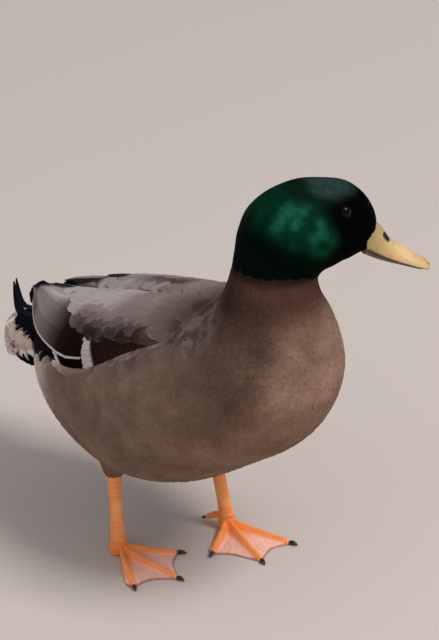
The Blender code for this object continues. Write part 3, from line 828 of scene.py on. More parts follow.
def bodyCoat(name, firstPlace, lastPlace, outline, material, seed):
    # contour feathers over a length of the body, left out where the wings and eyes are
    along, across = bodyRoots(firstPlace, lastPlace, seed)
    draw = np.random.default_rng(seed + 1)
    place = np.interp(along, np.arange(len(bodyPlaces)), bodyPlaces)
    roots, _, _, _ = onSurface(body, along, across)
    gap = aboveWingEdge(roots)
    behind = roots - np.array([0.8, 0, 0]) * coatMeasure("length", place)[:, None]
    overlap = edgeAt(flankOverlap, roots[:, 0])
    tipGap = aboveWingEdge(behind) - bareTerms["tips"]
    besideWing = (roots[:, 0] < bareTerms["front"]) & (roots[:, 0] > bareTerms["rear"])
    besideWing = besideWing & (place < bareTerms["place"])
    covered = (np.maximum(gap - overlap, tipGap - overlap) > 0) & besideWing
    bare = (baseOfBill(roots) > 0) & (place > bareTerms["billPlace"])
    keep = ~covered & ~bare & (fromEye(roots) > bareTerms["eye"])
    along, across, place, gap, roots = (x[keep] for x in (along, across, place, gap, roots))
    turn = across * 2 * np.pi / bodyTurns
    count = len(along)
    nearWing = bump(np.minimum(gap, 0), 0, 20) * (place < 6.6) * (roots[:, 0] > -95)
    up = -26 * nearWing + 8 * (place < 7) * (1 - nearWing) * smooth(-np.sin(turn), -0.4, 0.5)
    looks = {
        "outline": outline, "uneven": 0.07, "dusk": 0.13, "lift": (-0.05, 0.06), "round": 0.18,
        "length": coatMeasure("length", place) * draw.uniform(0.9, 1.1, count),
        "half": coatMeasure("half", place) * draw.uniform(0.9, 1.1, count),
        "depth": coatMeasure("depth", place),
        "aside": up * np.sign(np.cos(turn)) + draw.normal(0, 4, count),
    }

    def toneOf(line, rows, columns):
        # the body's colours along each feather, by its root's place and turn
        return bodyTone(line, place[:, None], turn[:, None], line[:, -2:-1])

    contourCoat(name, body, along, across, looks, toneOf, material, seed + 2)


bodyCoat("body_feathers", 0.05, 8.6, contourVane, softFeather, 20)
bodyCoat("neck_feathers", 8.6, 12.4, contourVane, neckFeather, 30)
bodyCoat("head_feathers", 12.4, 19.7, smallVane, headFeather, 40)


# The folded wings. Their grids run a millimetre a row from the rear to the shoulder, and from
# the lower edge (across 0) to the middle of the back (across 1) in hundredths.
wingRear, wingFront, wingColumns = -150, 60, 101
wingSurface = {}
for side in sideName:
    forwards = np.arange(wingRear, wingFront + 1.0)[:, None]
    grid = wingAt(side, *np.broadcast_arrays(forwards, np.linspace(0, 1, wingColumns)))
    wingSurface[side] = surfaceOf(grid, False, -side)

# Edges drawn on the wing as (forward, across): the lower boundary of the long soft scapulars,
# the height where their dark lower part begins (brown coverts deepened by painted shade), and
# the dark band's lower and upper edge on each side of the back.
scapularEdge = (
    (-150, 1.1), (-106, 1.0), (-98, 0.84), (-84, 0.68), (-72, 0.58), (-61, 0.5), (-46, 0.4),
    (-36, 0.33), (-6, 0.3), (26, 0.18), (50, 0.06), (60, 0.02),
)
duskEdge = ((-60, 0.44), (-25, 0.43), (5, 0.36), (25, 0.24), (42, 0.08), (60, -0.1))
bandLower = {
    -1: (
        (-150, 0.4), (-143, 0.5), (-137, 0.66), (-124, 0.77), (-112, 0.8), (-103, 0.84), (-97, 1.1),
    ),
    1: ((-150, 0.5), (-136, 0.55), (-100, 0.6), (-86, 0.7), (-76, 1.1)),
}
bandUpper = {
    -1: ((-150, 1.1), (-121, 1.1), (-112, 0.93), (-100, 0.86)),
    1: ((-150, 1.2), (-128, 1.1), (-118, 1.0), (-105, 0.95), (-95, 0.9), (-82, 0.84)),
}
# The wing's colours; silver is a painted sheen on a dark tertial.
wingPlumage = {
    "light": (174, 160, 157), "middle": (134, 117, 113), "scapular": (140, 120, 114),
    "shoulder": (112, 92, 84), "streak": (66, 47, 40), "dark": (46, 31, 24),
    "darkRear": (26, 13, 9), "band": (196, 184, 180), "speculum": (5, 4, 4),
    "line": (224, 217, 214), "inner": (138, 124, 122), "innerDark": (24, 12, 8),
    "rim": (180, 166, 166), "primary": (10, 7, 12), "silverSheen": (206, 200, 198),
    "night": (8, 6, 7),
}
wingPaint = {name: linear(*colour) for name, colour in wingPlumage.items()}


def backTone(tone, forward, across, side):
    # the dark inner vanes along the back, with one pale patch of painted sheen at the left wing's
    # rear
    night = smooth(aboveEdge(bandLower[side], forward, across), -0.02, 0.03)
    night = night * (1 - smooth(aboveEdge(bandUpper[side], forward, across), -0.02, 0.03))
    tone = mix(tone, wingPaint["night"], 0.95 * night)
    if side == 1:
        # a pale patch painted as the sheen on the dark tertial near the left wing's tip
        silverSheen = smooth(-forward, 127, 130) * smooth(across, 0.84, 0.88)
        tone = mix(tone, wingPaint["silverSheen"], silverSheen)
        dusky = bump(across, 0.83, 0.12) * smooth(-forward, 2, 20)
        dusky = dusky * (1 - 0.5 * smooth(-forward, 46, 70))
        tone = mix(tone, wingPaint["streak"], 0.9 * dusky * (1 - smooth(-forward, 84, 96)))
    return tone


def scapularTone(points, forward, across, side):
    # pale over the back and the rounded end, browner forward, and dark along the lower edge, where
    # the coverts' own brown is deepened by painted shade
    lumps, soft = cloud(points, 20), cloud(points, 9)
    browner = smooth(forward + 10 * (soft - 0.5), -42, -14)
    tone = mix(wingPaint["light"], wingPaint["scapular"], browner)
    belt = (1 - smooth(across + 0.08 * (soft - 0.5), 0.55, 0.68)) * (1 - smooth(forward, -8, 20))
    belt = belt * (1 - smooth(-forward, 54, 64))
    tone = mix(tone, wingPaint["middle"], belt)
    tone = mix(tone, wingPaint["shoulder"], smooth(forward + 12 * (lumps - 0.5), -2, 40))
    streak = bump(across, 0.84, 0.11) + bump(across, 0.48, 0.1)
    streak = streak * bump(forward + 14 * (soft - 0.5), 44, 9)
    tone = mix(tone, wingPaint["streak"], np.clip(0.85 * streak, 0, 0.9))
    # the lower part darkens towards the wing's edge: partly the coverts' own brown, partly painted
    # shade where the wing turns under
    low = aboveEdge(duskEdge, forward, across) + 0.08 * (soft - 0.5)
    ahead = smooth(forward + 20 * (lumps - 0.5), -40, 12)
    dark = mix(wingPaint["darkRear"], wingPaint["dark"], ahead)
    tone = mix(tone, dark, 1 - smooth(low, -0.15, 0.14) ** 2)
    tone = tone * (1 + 0.16 * (lumps - 0.5) + 0.14 * (soft - 0.5))[..., None]
    return backTone(tone, forward, across, side)


# The front of the pale bar and of the pale line at the wing's lower edge, and their slants back.
barFront, lineFront = (-12.5, 40), (-48.5, 84)


def greaterTone(points, forward, across, side):
    # the dark coverts end in one clean pale bar, which slants back up the wing
    front, slant = barFront
    bar = smooth(front - slant * np.clip(across, 0, 1) - forward, -0.7, 0.7)
    return mix(scapularTone(points, forward, across, side), wingPaint["band"], bar)


def secondaryTone(points, forward, across, side):
    # black, with a thin pale line along the tips
    front, slant = lineFront
    tips = front - slant * np.clip(across, 0, 1)
    tone = np.broadcast_to(wingPaint["speculum"], points.shape)
    return mix(tone, wingPaint["line"], forward < tips)


def innerTone(points, forward, across, side):
    # the inner feathers darken towards the bar and pale along their upper edge
    soft = cloud(points, 8)
    paled = 1 - smooth(forward + 8 * (soft - 0.5), -106, -46)
    tone = mix(wingPaint["innerDark"], wingPaint["inner"], paled**2)
    spot = bump(forward, -124, 9) * (1 - smooth(across, 0.42, 0.5))
    tone = mix(tone, wingPaint["innerDark"], 0.7 * spot)
    rim = bump(across, 0.695, 0.045) * smooth(-forward, 78, 92)
    rim = rim * (1 - 0.5 * smooth(-forward, 112, 136))
    tone = mix(tone, wingPaint["rim"], rim)
    light = smooth(across, 0.76, 0.84) * (1 - smooth(-forward, 96, 112))
    tone = mix(tone, wingPaint["light"], light)
    return backTone(tone, forward, across, side)


def plainTone(name):
    # one colour all over
    return lambda points, forward, across, side: np.broadcast_to(wingPaint[name], points.shape)


def wingCoat(side, name, plan, seed):
    # contour feathers strewn over the part of the wing where within(forward, across) holds
    surface = wingSurface[side]
    last = len(surface["values"]) - 2
    along, across = strewn(surface, 1, last, lambda row: plan["apart"], seed)
    keep = plan["within"](along + wingRear, across / (wingColumns - 1))
    along, across = along[keep], across[keep]
    draw = np.random.default_rng(seed + 1)
    count = len(along)
    forward, share = along + wingRear, across / (wingColumns - 1)
    looks = {
        "outline": contourVane, "uneven": plan["uneven"], "dusk": 0.15, "lift": plan["lift"],
        "round": 0.22, "above": plan["above"](forward, share)[:, None],
        "length": plan["length"] * draw.uniform(0.92, 1.08, count),
        "half": plan["half"] * draw.uniform(0.92, 1.08, count),
        "depth": np.full(count, plan["depth"]),
        "aside": plan["aside"](forward, share) + draw.normal(0, 1.2, count),
    }

    def toneAt(line, rows, columns):
        # the plan's colours, by forward and across
        return plan["tone"](line, rows + wingRear, columns / (wingColumns - 1), side)

    piece = f"{name}_{sideName[side]}"
    contourCoat(piece, surface, along, across, looks, toneAt, wingFeather, seed)


def quillRows(first, last, count):
    # rows that run evenly from the first to the last
    share = np.linspace(0, 1, count)[:, None]
    return np.array(first) + (np.array(last) - np.array(first)) * share


# Outlines of a long inner feather and of a square-ended one, and the stiff feathers: each row's
# root (forward, across), tip (forward, across), half width, bow up the back, and height at the
# tip. "edge" paints the lowest feather's lower edge, and "sunk" is where the roots lie under.
innerVane = (
    (0, 0.4), (0.12, 0.75), (0.24, 0.95), (0.34, 1.0), (0.44, 0.98), (0.52, 0.9), (0.6, 0.76),
    (0.69, 0.62), (0.78, 0.54), (0.88, 0.44), (0.96, 0.26), (1.0, 0.04),
)
squareVane = (
    (0, 0.4), (0.15, 0.8), (0.35, 1.0), (0.55, 1.0), (0.64, 1.0), (0.68, 1.0), (0.72, 1.0),
    (0.76, 1.0), (0.8, 1.0), (0.84, 1.0), (0.9, 1.0), (0.945, 1.0), (0.96, 1.0), (0.975, 0.99),
    (0.99, 0.97), (1.0, 0.92),
)
quills = {
    "primaries": {
        "rows": quillRows(
            (-40, 0.12, -131, 0.26, 5.5, -0.02, -1.6), (-52, 0.32, -149, 0.46, 6, 0, -1.1), 6
        ),
        "outline": broadVane, "tone": plainTone("primary"),
    },
    "secondaries": {
        "rows": quillRows(
            (-6, 0.03, -53, 0.03, 5.4, 0, -1.3), (-16, 0.24, -68, 0.2, 5.4, 0, -0.7), 6
        ),
        "outline": squareVane, "tone": secondaryTone,
    },
    "greater_coverts": {
        "rows": quillRows(
            (12, 0.03, -25, 0.05, 4.6, 0, -0.8), (-6, 0.32, -33, 0.33, 4.6, 0, 0), 7
        ),
        "outline": squareVane, "tone": greaterTone,
    },
    "inner_feathers": {
        "rows": [
            (-16, 0.25, -148, 0.53, 15.5, 0, 0.1),
            (-26, 0.44, -142, 0.65, 13, 0.03, 0.3),
            (-38, 0.58, -136, 0.76, 11.5, 0.03, 0.5),
            (-50, 0.72, -131, 0.87, 11, 0.02, 0.6),
            (-58, 0.86, -126, 0.95, 10, 0.01, 0.7),
        ],
        "outline": innerVane, "tone": innerTone, "edge": "line", "sunk": (0.0, 0.12),
    },
}


quillTerms = {
    "camber": 0.45, "thickness": 0.4, "shaft": 0.12, "rootDepth": 1.8, "edgeFrom": 0.86,
    "edgeBehind": -24,
}


def addQuills(side, name, plan, seed):
    # broad stiff feathers that follow the wing across their width as well as along it:
    # height = rise + camber * (1 - v^2) - under * thickness + shaft over the wing's surface
    rows = np.array(plan["rows"], float)
    draw = np.random.default_rng(seed)
    shares, widths = np.array(plan["outline"]).T
    surface = wingSurface[side]
    v, under = np.array(broadSection, float).T
    forward = rows[:, :1] + (rows[:, 2:3] - rows[:, :1]) * shares
    middle = rows[:, 1:2] + (rows[:, 3:4] - rows[:, 1:2]) * shares
    middle = middle + rows[:, 5:6] * np.sin(np.pi * shares)
    along = forward - wingRear
    _, _, _, reach = onSurface(surface, along, middle * (wingColumns - 1))
    columns = middle[..., None] * (wingColumns - 1)
    columns = columns + side * v * (rows[:, 4:5] * widths / reach)[..., None]
    points, normals, _, _ = onSurface(surface, *np.broadcast_arrays(along[..., None], columns))
    sunk = smooth(shares, *plan.get("sunk", (0, 0.35)))
    rise = rows[:, 6:7] * smooth(shares, 0.0, 0.6) - quillTerms["rootDepth"] * (1 - sunk)
    height = rise[..., None] + quillTerms["camber"] * (1 - v**2) - quillTerms["thickness"] * under
    height = height + quillTerms["shaft"] * (np.abs(v) < 0.05) * (1 - under)
    solids = points + height[..., None] * normals
    across = columns / (wingColumns - 1)
    level = np.broadcast_to(forward[..., None], across.shape)
    tone = plan["tone"](solids, level, across, side)
    tone = tone * draw.uniform(0.95, 1.05, (len(rows), 1, 1, 1))
    if "edge" in plan:
        # only the lowest feather's edge shows pale
        lowest = (np.arange(len(rows)) == 0)[:, None, None] & (-side * v > quillTerms["edgeFrom"])
        lowest = lowest & (level < quillTerms["edgeBehind"])
        tone = mix(tone, wingPaint[plan["edge"]], 0.95 * lowest)
    unwrap = ((rows[:, :2] - np.array([wingRear, 0])) * np.array([1, 100]))[:, ::-1]
    title = f"{name}_{sideName[side]}"
    finish(addFeathers(title, solids, tone, shares, broadSection, unwrap, seed), wingFeather)


bedTerms = {"depth": 2.4, "thickness": 4.1, "taper": 12}


def wingBed(side):
    # the closed bed under the wing's feathers, thinning to nothing at its ends
    values = wingSurface[side]["values"][::3, ::4]
    share = np.linspace(0, 1, len(values))[:, None, None]
    thick = np.clip(np.minimum(share, 1 - share) * bedTerms["taper"], 0, 1)
    deep = bedTerms["depth"] + bedTerms["thickness"] * thick
    outer = values[..., :3] - bedTerms["depth"] * values[..., 3:6]
    inner = values[..., :3] - deep * values[..., 3:6]
    return closedShell(np.concatenate([outer, inner[:, ::-1]], axis=1), capped=False)


scapularRear = -84


def scapularRegion(forward, across):
    # roots above the scapulars' edge or next to the back, and ahead of where they end
    within = (aboveEdge(scapularEdge, forward - 22, across) > 0.02) | (across > 0.82)
    return within & (forward > scapularRear)


def covertRegion(forward, across):
    # roots below the scapulars and ahead of the stiff feathers
    within = (aboveEdge(scapularEdge, forward - 10, across) < 0.12) & (across < 0.6)
    return within & (forward > 7 - 56 * across)


wingCoats = {
    "coverts": {
        "apart": (5.2, 5.2), "length": 13.0, "half": 4.6, "depth": 2.2, "lift": (0, 0.1),
        "uneven": 0.05, "tone": scapularTone, "aside": lambda forward, across: 0 * across,
        "above": lambda forward, across: 0 * across - 0.3, "within": covertRegion,
    },
    "scapulars": {
        "apart": (6.5, 7.0), "length": 27.0, "half": 7.4, "depth": 2.6, "lift": (0, 0.1),
        "uneven": 0.03, "tone": scapularTone, "within": scapularRegion,
        "aside": lambda forward, across: -8 * smooth(-forward, 20, 80) * smooth(across, 0.4, 0.8),
        "above": lambda forward, across: 0.4 + 0.6 * smooth(-forward, 10, 60),
    },
}
wingSeeds = {1: (300, 354), -1: (400, 454)}
for side, (quillSeed, coatSeed) in wingSeeds.items():
    for number, (name, plan) in enumerate(quills.items()):
        addQuills(side, name, plan, quillSeed + 10 * number)
    for number, (name, plan) in enumerate(wingCoats.items()):
        wingCoat(side, name, plan, coatSeed + 10 * number)
print("wings")


def tubeRings(path, radii, sides):
    # round rings along a path, each square to it: path + radius * (cos * across + sin * rise)
    path = np.asarray(path, float)
    along = unit(np.gradient(path, axis=0))
    steep = np.abs(along[:, 2:]) > 0.8
    upright = np.where(steep, np.array([1.0, 0, 0]), np.array([0, 0, 1.0]))
    across = unit(np.cross(along, upright))
    rise = np.cross(across, along)
    angles = around(sides)[:, None]
    ring = np.cos(angles) * across[:, None] + np.sin(angles) * rise[:, None]
    return path[:, None] + np.asarray(radii, float)[:, None, None] * ring


# The tail: forward, half width, top and underside of rounded rings.
tailRows = (
    (-106, 27, 140, 104), (-112, 28, 138, 104), (-128, 31, 130, 90), (-142, 33, 122.5, 88),
    (-154, 33, 116.5, 94), (-164, 30, 113, 101), (-173, 24, 110.5, 105),
    (-182, 15, 108.5, 106), (-190, 4, 107, 105.6),
)
tailDroop, tailSquareness, tailTurns = 3, 2.6, 160
# How far up the sides the black reaches, in degrees, by millimetres behind the layout's origin.
tailBlack = ((128, 4), (133, 16), (139, 30), (149, 41), (164, 52), (180, 66))
# The rearmost roots of the upper coverts, by distance from the middle.
lastCoverts = ((0, -173), (8, -169), (16, -161), (22, -150), (27, -141))
# The tail's colours; crease is the painted shade of a fold along each side.
tailColours = {
    "cream": linear(226, 204, 186), "creamDark": linear(212, 184, 168),
    "creaseShade": linear(90, 74, 66), "pale": linear(236, 232, 228),
    "fan": linear(218, 206, 200), "fanDark": linear(150, 134, 126),
}


def tailAt(place, turn):
    # middle + height * rise - droop * side^2, with side and height a squared cos and sin
    forward, halfWidth, top, under = np.moveaxis(curveAt(tailRows, place), -1, 0)
    side = squared(np.cos(turn), tailSquareness)
    height = squared(np.sin(turn), tailSquareness)
    up = (top + under) / 2 + height * (top - under) / 2 - tailDroop * side**2
    return np.stack([forward, halfWidth * side, up], axis=-1)


tailForwards = [row[0] for row in tailRows[::-1]]
tailPlaces = np.interp(np.arange(-180, -105.5, 0.5), tailForwards, np.arange(8, -1, -1))
tailGrid = tailAt(*np.broadcast_arrays(tailPlaces[:, None], around(tailTurns)))
tailSurface = surfaceOf(tailGrid, True, -1)


def tailTone(points):
    # black coverts above and below, cream along the sides, with a line of painted shade in the fold
    # along each side
    forward, left, up = np.moveaxis(points, -1, 0)
    rows = np.array(tailRows)[::-1]
    _, halfWidth, top, under = (np.interp(forward, rows[:, 0], column) for column in rows.T)
    side = np.clip(np.abs(left) / halfWidth, 0, 1)
    height = np.clip(2 * (up + tailDroop * side**2 - under) / (top - under) - 1, -1, 1)
    rise, run = squared(height, 4 / tailSquareness), side ** (tailSquareness / 2)
    slope = np.degrees(np.arctan2(rise, run))
    black = smooth(aboveEdge(tailBlack, -forward, slope), -3, 3)
    black = np.maximum(black, (1 - smooth(slope, -9, -6)) * (1 - smooth(-forward, 146, 152)))
    black = np.maximum(black, 1 - smooth(-forward, 126, 129))
    cream = mix(tailColours["cream"], tailColours["creamDark"], cloud(points, 7))
    # a dark line painted as the shade in the fold along each side of the tail
    creaseShade = bump(slope, 3, 2.2) * smooth(-forward, 130, 134)
    cream = mix(cream, tailColours["creaseShade"], 0.8 * creaseShade)
    pale = smooth(2 - slope, 0, 2) * (1 - smooth(-forward, 138, 142))
    cream = mix(cream, tailColours["pale"], pale)
    dark = mix(paint["black"], paint["blue"], 0.7 * cloud(points, 8))
    return mix(cream, dark, black)


def tailCoat():
    # the coverts over the tail's root, which reach further back above than below
    first, last, lastBelow = 14, len(tailGrid) - 2, -146
    along, across = strewn(tailSurface, first, last, lambda row: (3.6, 3.8), 500)
    draw = np.random.default_rng(501)
    roots, _, _, _ = onSurface(tailSurface, along, across)
    turn = across * 2 * np.pi / tailTurns
    keep = aboveEdge(lastCoverts, np.abs(roots[:, 1]), roots[:, 0]) > 0
    keep = keep | (np.sin(turn) < 0) & (roots[:, 0] > lastBelow)
    along, across = along[keep], across[keep]
    count = len(along)
    looks = {
        "outline": contourVane, "uneven": 0.08, "dusk": 0.1, "lift": (0, 0.15), "round": 0.3,
        "length": draw.uniform(12, 15, count), "half": draw.uniform(3.3, 4.0, count),
        "depth": np.full(count, 2.2), "aside": draw.normal(0, 4, count),
    }

    def toneOf(line, rows, columns):
        # the tail's colours along each feather
        return tailTone(line)

    contourCoat("tail_coverts", tailSurface, along, across, looks, toneOf, tailFeather, 502)


fanTerms = {"aSide": 9, "half": 8.2, "arc": 4.5, "root": -116.0, "tip": -188.5}


def tailFan():
    # nine stiff feathers a side, the inner ones on top, closing to a blunt point; each line is
    # root + (tip - root) * share + arc * sin(pi * share) upward, and rolls out with its number
    shares, widths = np.array(broadVane).T
    aSide = fanTerms["aSide"]
    number = np.repeat(np.arange(aSide)[::-1], 2)
    side = np.tile([1, -1], aSide)
    rootForward = np.full(2 * aSide, fanTerms["root"])
    root = np.stack([rootForward, side * (2 + 2.2 * number), 112 - 0.7 * number], axis=-1)
    tipForward = fanTerms["tip"] + 0.42 * number**2
    tip = np.stack([tipForward, side * (2.2 + 3.5 * number), 105.4 - 1.2 * number], axis=-1)
    arc = fanTerms["arc"] * np.sin(np.pi * shares)[None, :, None] * np.array([0, 0, 1.0])
    line = root[:, None] + (tip - root)[:, None] * shares[:, None] + arc
    roll = np.radians(side * (5 + 5.0 * number))
    normal = np.stack([0 * roll, np.sin(roll), np.cos(roll)], axis=-1)
    normal = np.broadcast_to(normal[:, None], line.shape)
    half = fanTerms["half"] * widths * np.ones((2 * aSide, 1))
    form = {"camber": 0.5, "cup": 0, "thickness": 0.5, "shaft": 0.25}
    solids = featherSolids(line, normal, half, 0 * half, broadSection, form)
    v, _ = np.array(broadSection, float).T
    centre = np.broadcast_to(bump(v, 0, 0.45), solids.shape[:3])
    inner = (1 - number / (aSide - 1.0))[:, None, None]
    tone = mix(tailColours["fan"], tailColours["fanDark"], centre * (0.35 + 0.5 * inner))
    unwrap = np.stack([side * number + 0.5, number % 3 + 0.0], axis=-1)
    piece = addFeathers("tail_fan", solids, tone, shares, broadSection, unwrap, 520)
    finish(piece, tailFeather)


# The drake's two curled feathers: left, where the bend starts, height there, and size.
curls = {"left": (4.3, -187, 108.5, 0.86), "right": (-4.3, -177, 109.5, 0.98)}
curlTerms = {
    "start": (-151, 116), "half": 4.0, "thickness": 1.0, "bend": 68, "bendRadius": 6.5,
    "rise": 16, "riseRadius": 64,
}


def curlFeathers():
    # each runs back over the tail, bends up through one arc and rises through a wider one to
    # its tip: forward - radius * sin(angle), up + radius * (1 - cos(angle))
    lines, halves = [], []
    bendTo = curlTerms["bend"]
    riseTo = bendTo + curlTerms["rise"]
    for left, bendForward, base, size in curls.values():
        bend = np.radians(np.linspace(0, bendTo, 12))
        rise = np.radians(np.linspace(bendTo, riseTo, 16))[1:]
        near, far = size * curlTerms["bendRadius"], size * curlTerms["riseRadius"]
        forward = bendForward - near * np.sin(bend)
        up = base + near * (1 - np.cos(bend))
        forward = np.concatenate([forward, forward[-1] - far * (np.sin(rise) - np.sin(bend[-1]))])
        up = np.concatenate([up, up[-1] + far * (np.cos(bend[-1]) - np.cos(rise))])
        startForward, startUp = curlTerms["start"]
        lead = np.linspace(0, 1, 5, endpoint=False)
        forward = np.concatenate([startForward + (bendForward - startForward) * lead, forward])
        up = np.concatenate([startUp + (base - startUp) * lead, up])
        lines.append(np.stack([forward, left + 0 * forward, up], axis=-1))
        halves.append(size * curlTerms["half"] * (1 - np.linspace(0, 0.93, len(up)) ** 2.2))
    line, half = np.array(lines), np.array(halves)
    heading = unit(np.gradient(line, axis=1))
    normal = np.cross(heading, np.array([0, 1.0, 0]))
    normal = normal * np.where(normal[:, :1, 2:] < 0, -1, 1)
    form = {"camber": 0.5, "cup": 0, "thickness": curlTerms["thickness"], "shaft": 0.2}
    solids = featherSolids(line, normal, half, 0 * half, broadSection, form)
    shares = np.linspace(0, 1, line.shape[1])
    tone = mix(paint["blue"], paint["black"], np.broadcast_to(shares[:, None], solids.shape[:3]))
    unwrap = np.array([[0.0, 0], [1, 1]])
    piece = addFeathers("curl_feathers", solids, tone, shares, broadSection, unwrap, 530)
    finish(piece, curlFeather)


tailCoat()
tailFan()
curlFeathers()
print("tail")

# Each leg: forward and left of its toes' joint and of its hock, and the foot's degrees to the
# left.
feet = {
    "left": {"side": 1, "joint": (5.5, 37.0), "turned": -13, "hock": (-5.0, 34.5)},
    "right": {"side": -1, "joint": (-12.0, -45.5), "turned": 9, "hock": (-25.0, -39.0)},
}
knuckleHeight, hockHeight = 11, 55
thighRadius = ((0, 6.2), (0.12, 8.4), (0.25, 10), (0.6, 15), (1, 19))


def onFoot(points, name):
    # from the foot's own axes, which start on the floor under its toes' joint
    foot = feet[name]
    return turned(np.asarray(points, float), foot["turned"]) + np.array([*foot["joint"], 0])


def thighAt(name, share, turn, shrink=0.0):
    # rings from the hock up into the belly, growing as they rise: hock + radius * (cos, sin)
    hockForward, hockLeft = feet[name]["hock"]
    radius = edgeAt(thighRadius, share) - shrink
    ahead = hockForward + 8 * share
    up = hockHeight + 0.3 + 30 * share
    return np.stack(
        [ahead + radius * np.cos(turn), hockLeft + radius * np.sin(turn), up + 0 * turn], axis=-1
    )


def thighCoat(name, seed):
    # short feathers round a thigh, shorter still next to the hock
    shares = np.linspace(0, 1, 60)[:, None]
    surface = surfaceOf(thighAt(name, *np.broadcast_arrays(shares, around(96))), True, -1)
    along, across = strewn(surface, 3, 58, lambda row: (2.6, 3.0), seed)
    count = len(along)
    draw = np.random.default_rng(seed)
    looks = {
        "outline": contourVane, "uneven": 0.07, "dusk": 0.15, "lift": (0, 0.1), "round": 0.3,
        "length": np.minimum(draw.uniform(8, 10, count), along * 0.5 + 2.5),
        "half": draw.uniform(2.2, 2.7, count), "depth": np.full(count, 1.4),
        "aside": draw.normal(0, 5, count),
    }

    def toneOf(line, rows, columns):
        # the flank's colours, as under the belly at the coat's place 4
        return bodyTone(line, np.full((count, 1), 4.0), np.full((count, 1), -np.pi / 2), line)

    contourCoat(f"thigh_{name}", surface, along, across, looks, toneOf, softFeather, seed)


thighCoat("left", 600)
thighCoat("right", 610)


# How deep the skin lies: a share of the coat's depth and a little more on the body.
skinDepth = {"share": 0.85, "more": 0.15, "tail": 2.0, "thigh": 1.3}
# The coat's place for a colour of the skin, by height in front and by forward behind.
placeByHeight = ((150, 6), (190, 8), (240, 9.6), (300, 14))
placeByForward = ((-134, 0), (-121, 1), (-97, 2), (-60, 3), (-17, 4), (25, 5))
skinLook = {"front": 40, "middle": 113, "rise": 48, "lighter": 1.7}


def skinShells():
    # the one skin: body, wing beds, tail and thighs, inside the feathers by their roots' depth
    values = body["values"][::4, ::4]
    depth = coatMeasure("depth", bodyPlaces[::4])[:, None, None]
    depth = depth * skinDepth["share"] + skinDepth["more"]
    shells = [closedShell(values[..., :3] - depth * values[..., 3:6])]
    shells += [wingBed(1), wingBed(-1)]
    values = tailSurface["values"][::4, ::4]
    shells.append(closedShell(values[..., :3] - skinDepth["tail"] * values[..., 3:6]))
    places = np.broadcast_arrays(np.linspace(0.02, 1, 16)[:, None], around(32))
    for name in feet:
        shells.append(closedShell(thighAt(name, *places, shrink=skinDepth["thigh"])))
    return shells


def skinTone(points):
    # the coat's own markings, lightened to meet the feathers over it
    forward, _, up = np.moveaxis(points, -1, 0)
    inFront = forward >= skinLook["front"]
    place = np.where(inFront, edgeAt(placeByHeight, up), edgeAt(placeByForward, forward))
    turn = np.pi - np.arcsin(np.clip((up - skinLook["middle"]) / skinLook["rise"], -1, 1))
    tone = skinLook["lighter"] * bodyTone(points, place, turn, points)
    return mix(tone, tailTone(points), smooth(-forward, 108, 116) * (up < 128))


skin = joinedShells("skin", skinShells(), skinTone)
finish(skin, softFeather)
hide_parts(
    "trunk", "neck", "head", "wing_left", "wing_right", "tail", "thigh_left",
    "thigh_right", "tail_curl_left", "tail_curl_right",
)
print("skin")


def eyeFrame(side):
    # out of the eye, forward along the lids, and up across them
    out = eyeAxis(side)
    ahead = fromHead((1, 0, 0)) - fromHead((0, 0, 0))
    ahead = unit(ahead - out * (ahead @ out))
    return out, ahead, unit(np.cross(out, ahead)) * side


lidTerms = {"radius": 6.3, "polar": 42, "narrow": 6, "width": 22, "thickness": 0.5}
irisTerms = {"pupil": (21, 24), "rim": (36, 41), "rays": 40, "bulge": 0.05, "cornea": 26}
eyeColours = {"pupil": linear(3, 3, 4), "iris": linear(11, 8, 7), "lid": linear(2, 4, 4)}


def eyeBall(side):
    # polar angle from the eye's axis by turns about it; the pole at the front is the pupil,
    # where radius * (1 + bulge * exp(-(polar / cornea)^2)) stands out
    out, ahead, above = eyeFrame(side)
    polar = np.radians(np.linspace(0.5, 150, 46))[:, None, None]
    turn = around(48)[None, :, None]
    ring = np.cos(turn) * ahead + np.sin(turn) * above
    bulge = 1 + irisTerms["bulge"] * np.exp(-((polar / np.radians(irisTerms["cornea"])) ** 2))
    return eyeCentres[side] + eye["radius"] * bulge * (np.cos(polar) * out + np.sin(polar) * ring)


def eyeTone(points):
    # black pupil, a dark brown iris with fine rays, and a black rim
    tones = []
    for side in sideName:
        out, ahead, above = eyeFrame(side)
        offset = unit(points - eyeCentres[side])
        polar = np.degrees(np.arccos(np.clip(offset @ out, -1, 1)))
        turn = np.arctan2(offset @ above, offset @ ahead)
        rays = 0.8 + 0.25 * np.sin(turn * irisTerms["rays"]) * np.sin(polar * 0.7)
        onIris = smooth(polar, *irisTerms["pupil"]) * (1 - smooth(polar, *irisTerms["rim"]))
        tones.append(mix(eyeColours["pupil"], eyeColours["iris"] * rays[:, None], onIris))
    onLeft = np.linalg.norm(points - eyeCentres[1], axis=-1) < 1.5 * eye["radius"]
    return np.where(onLeft[:, None], *tones)


def lidRing(side):
    # a soft ring of skin on a sphere just over the eye, its opening a little narrower than
    # long: polar = opening + width / 2 * (1 - cos), lift = radius + thickness * sin
    out, ahead, above = eyeFrame(side)
    turn = around(64)
    opening = lidTerms["polar"] - lidTerms["narrow"] * np.abs(np.sin(turn)) ** 1.5
    section = around(10)
    across = opening + lidTerms["width"] / 2 * (1 - np.cos(section))[:, None]
    lift = lidTerms["radius"] + lidTerms["thickness"] * np.sin(section)[:, None]
    polar = np.radians(across)[..., None]
    ring = np.cos(turn)[:, None] * ahead + np.sin(turn)[:, None] * above
    grid = eyeCentres[side] + lift[..., None] * (np.cos(polar) * out + np.sin(polar) * ring)
    return np.moveaxis(grid, 0, 1)


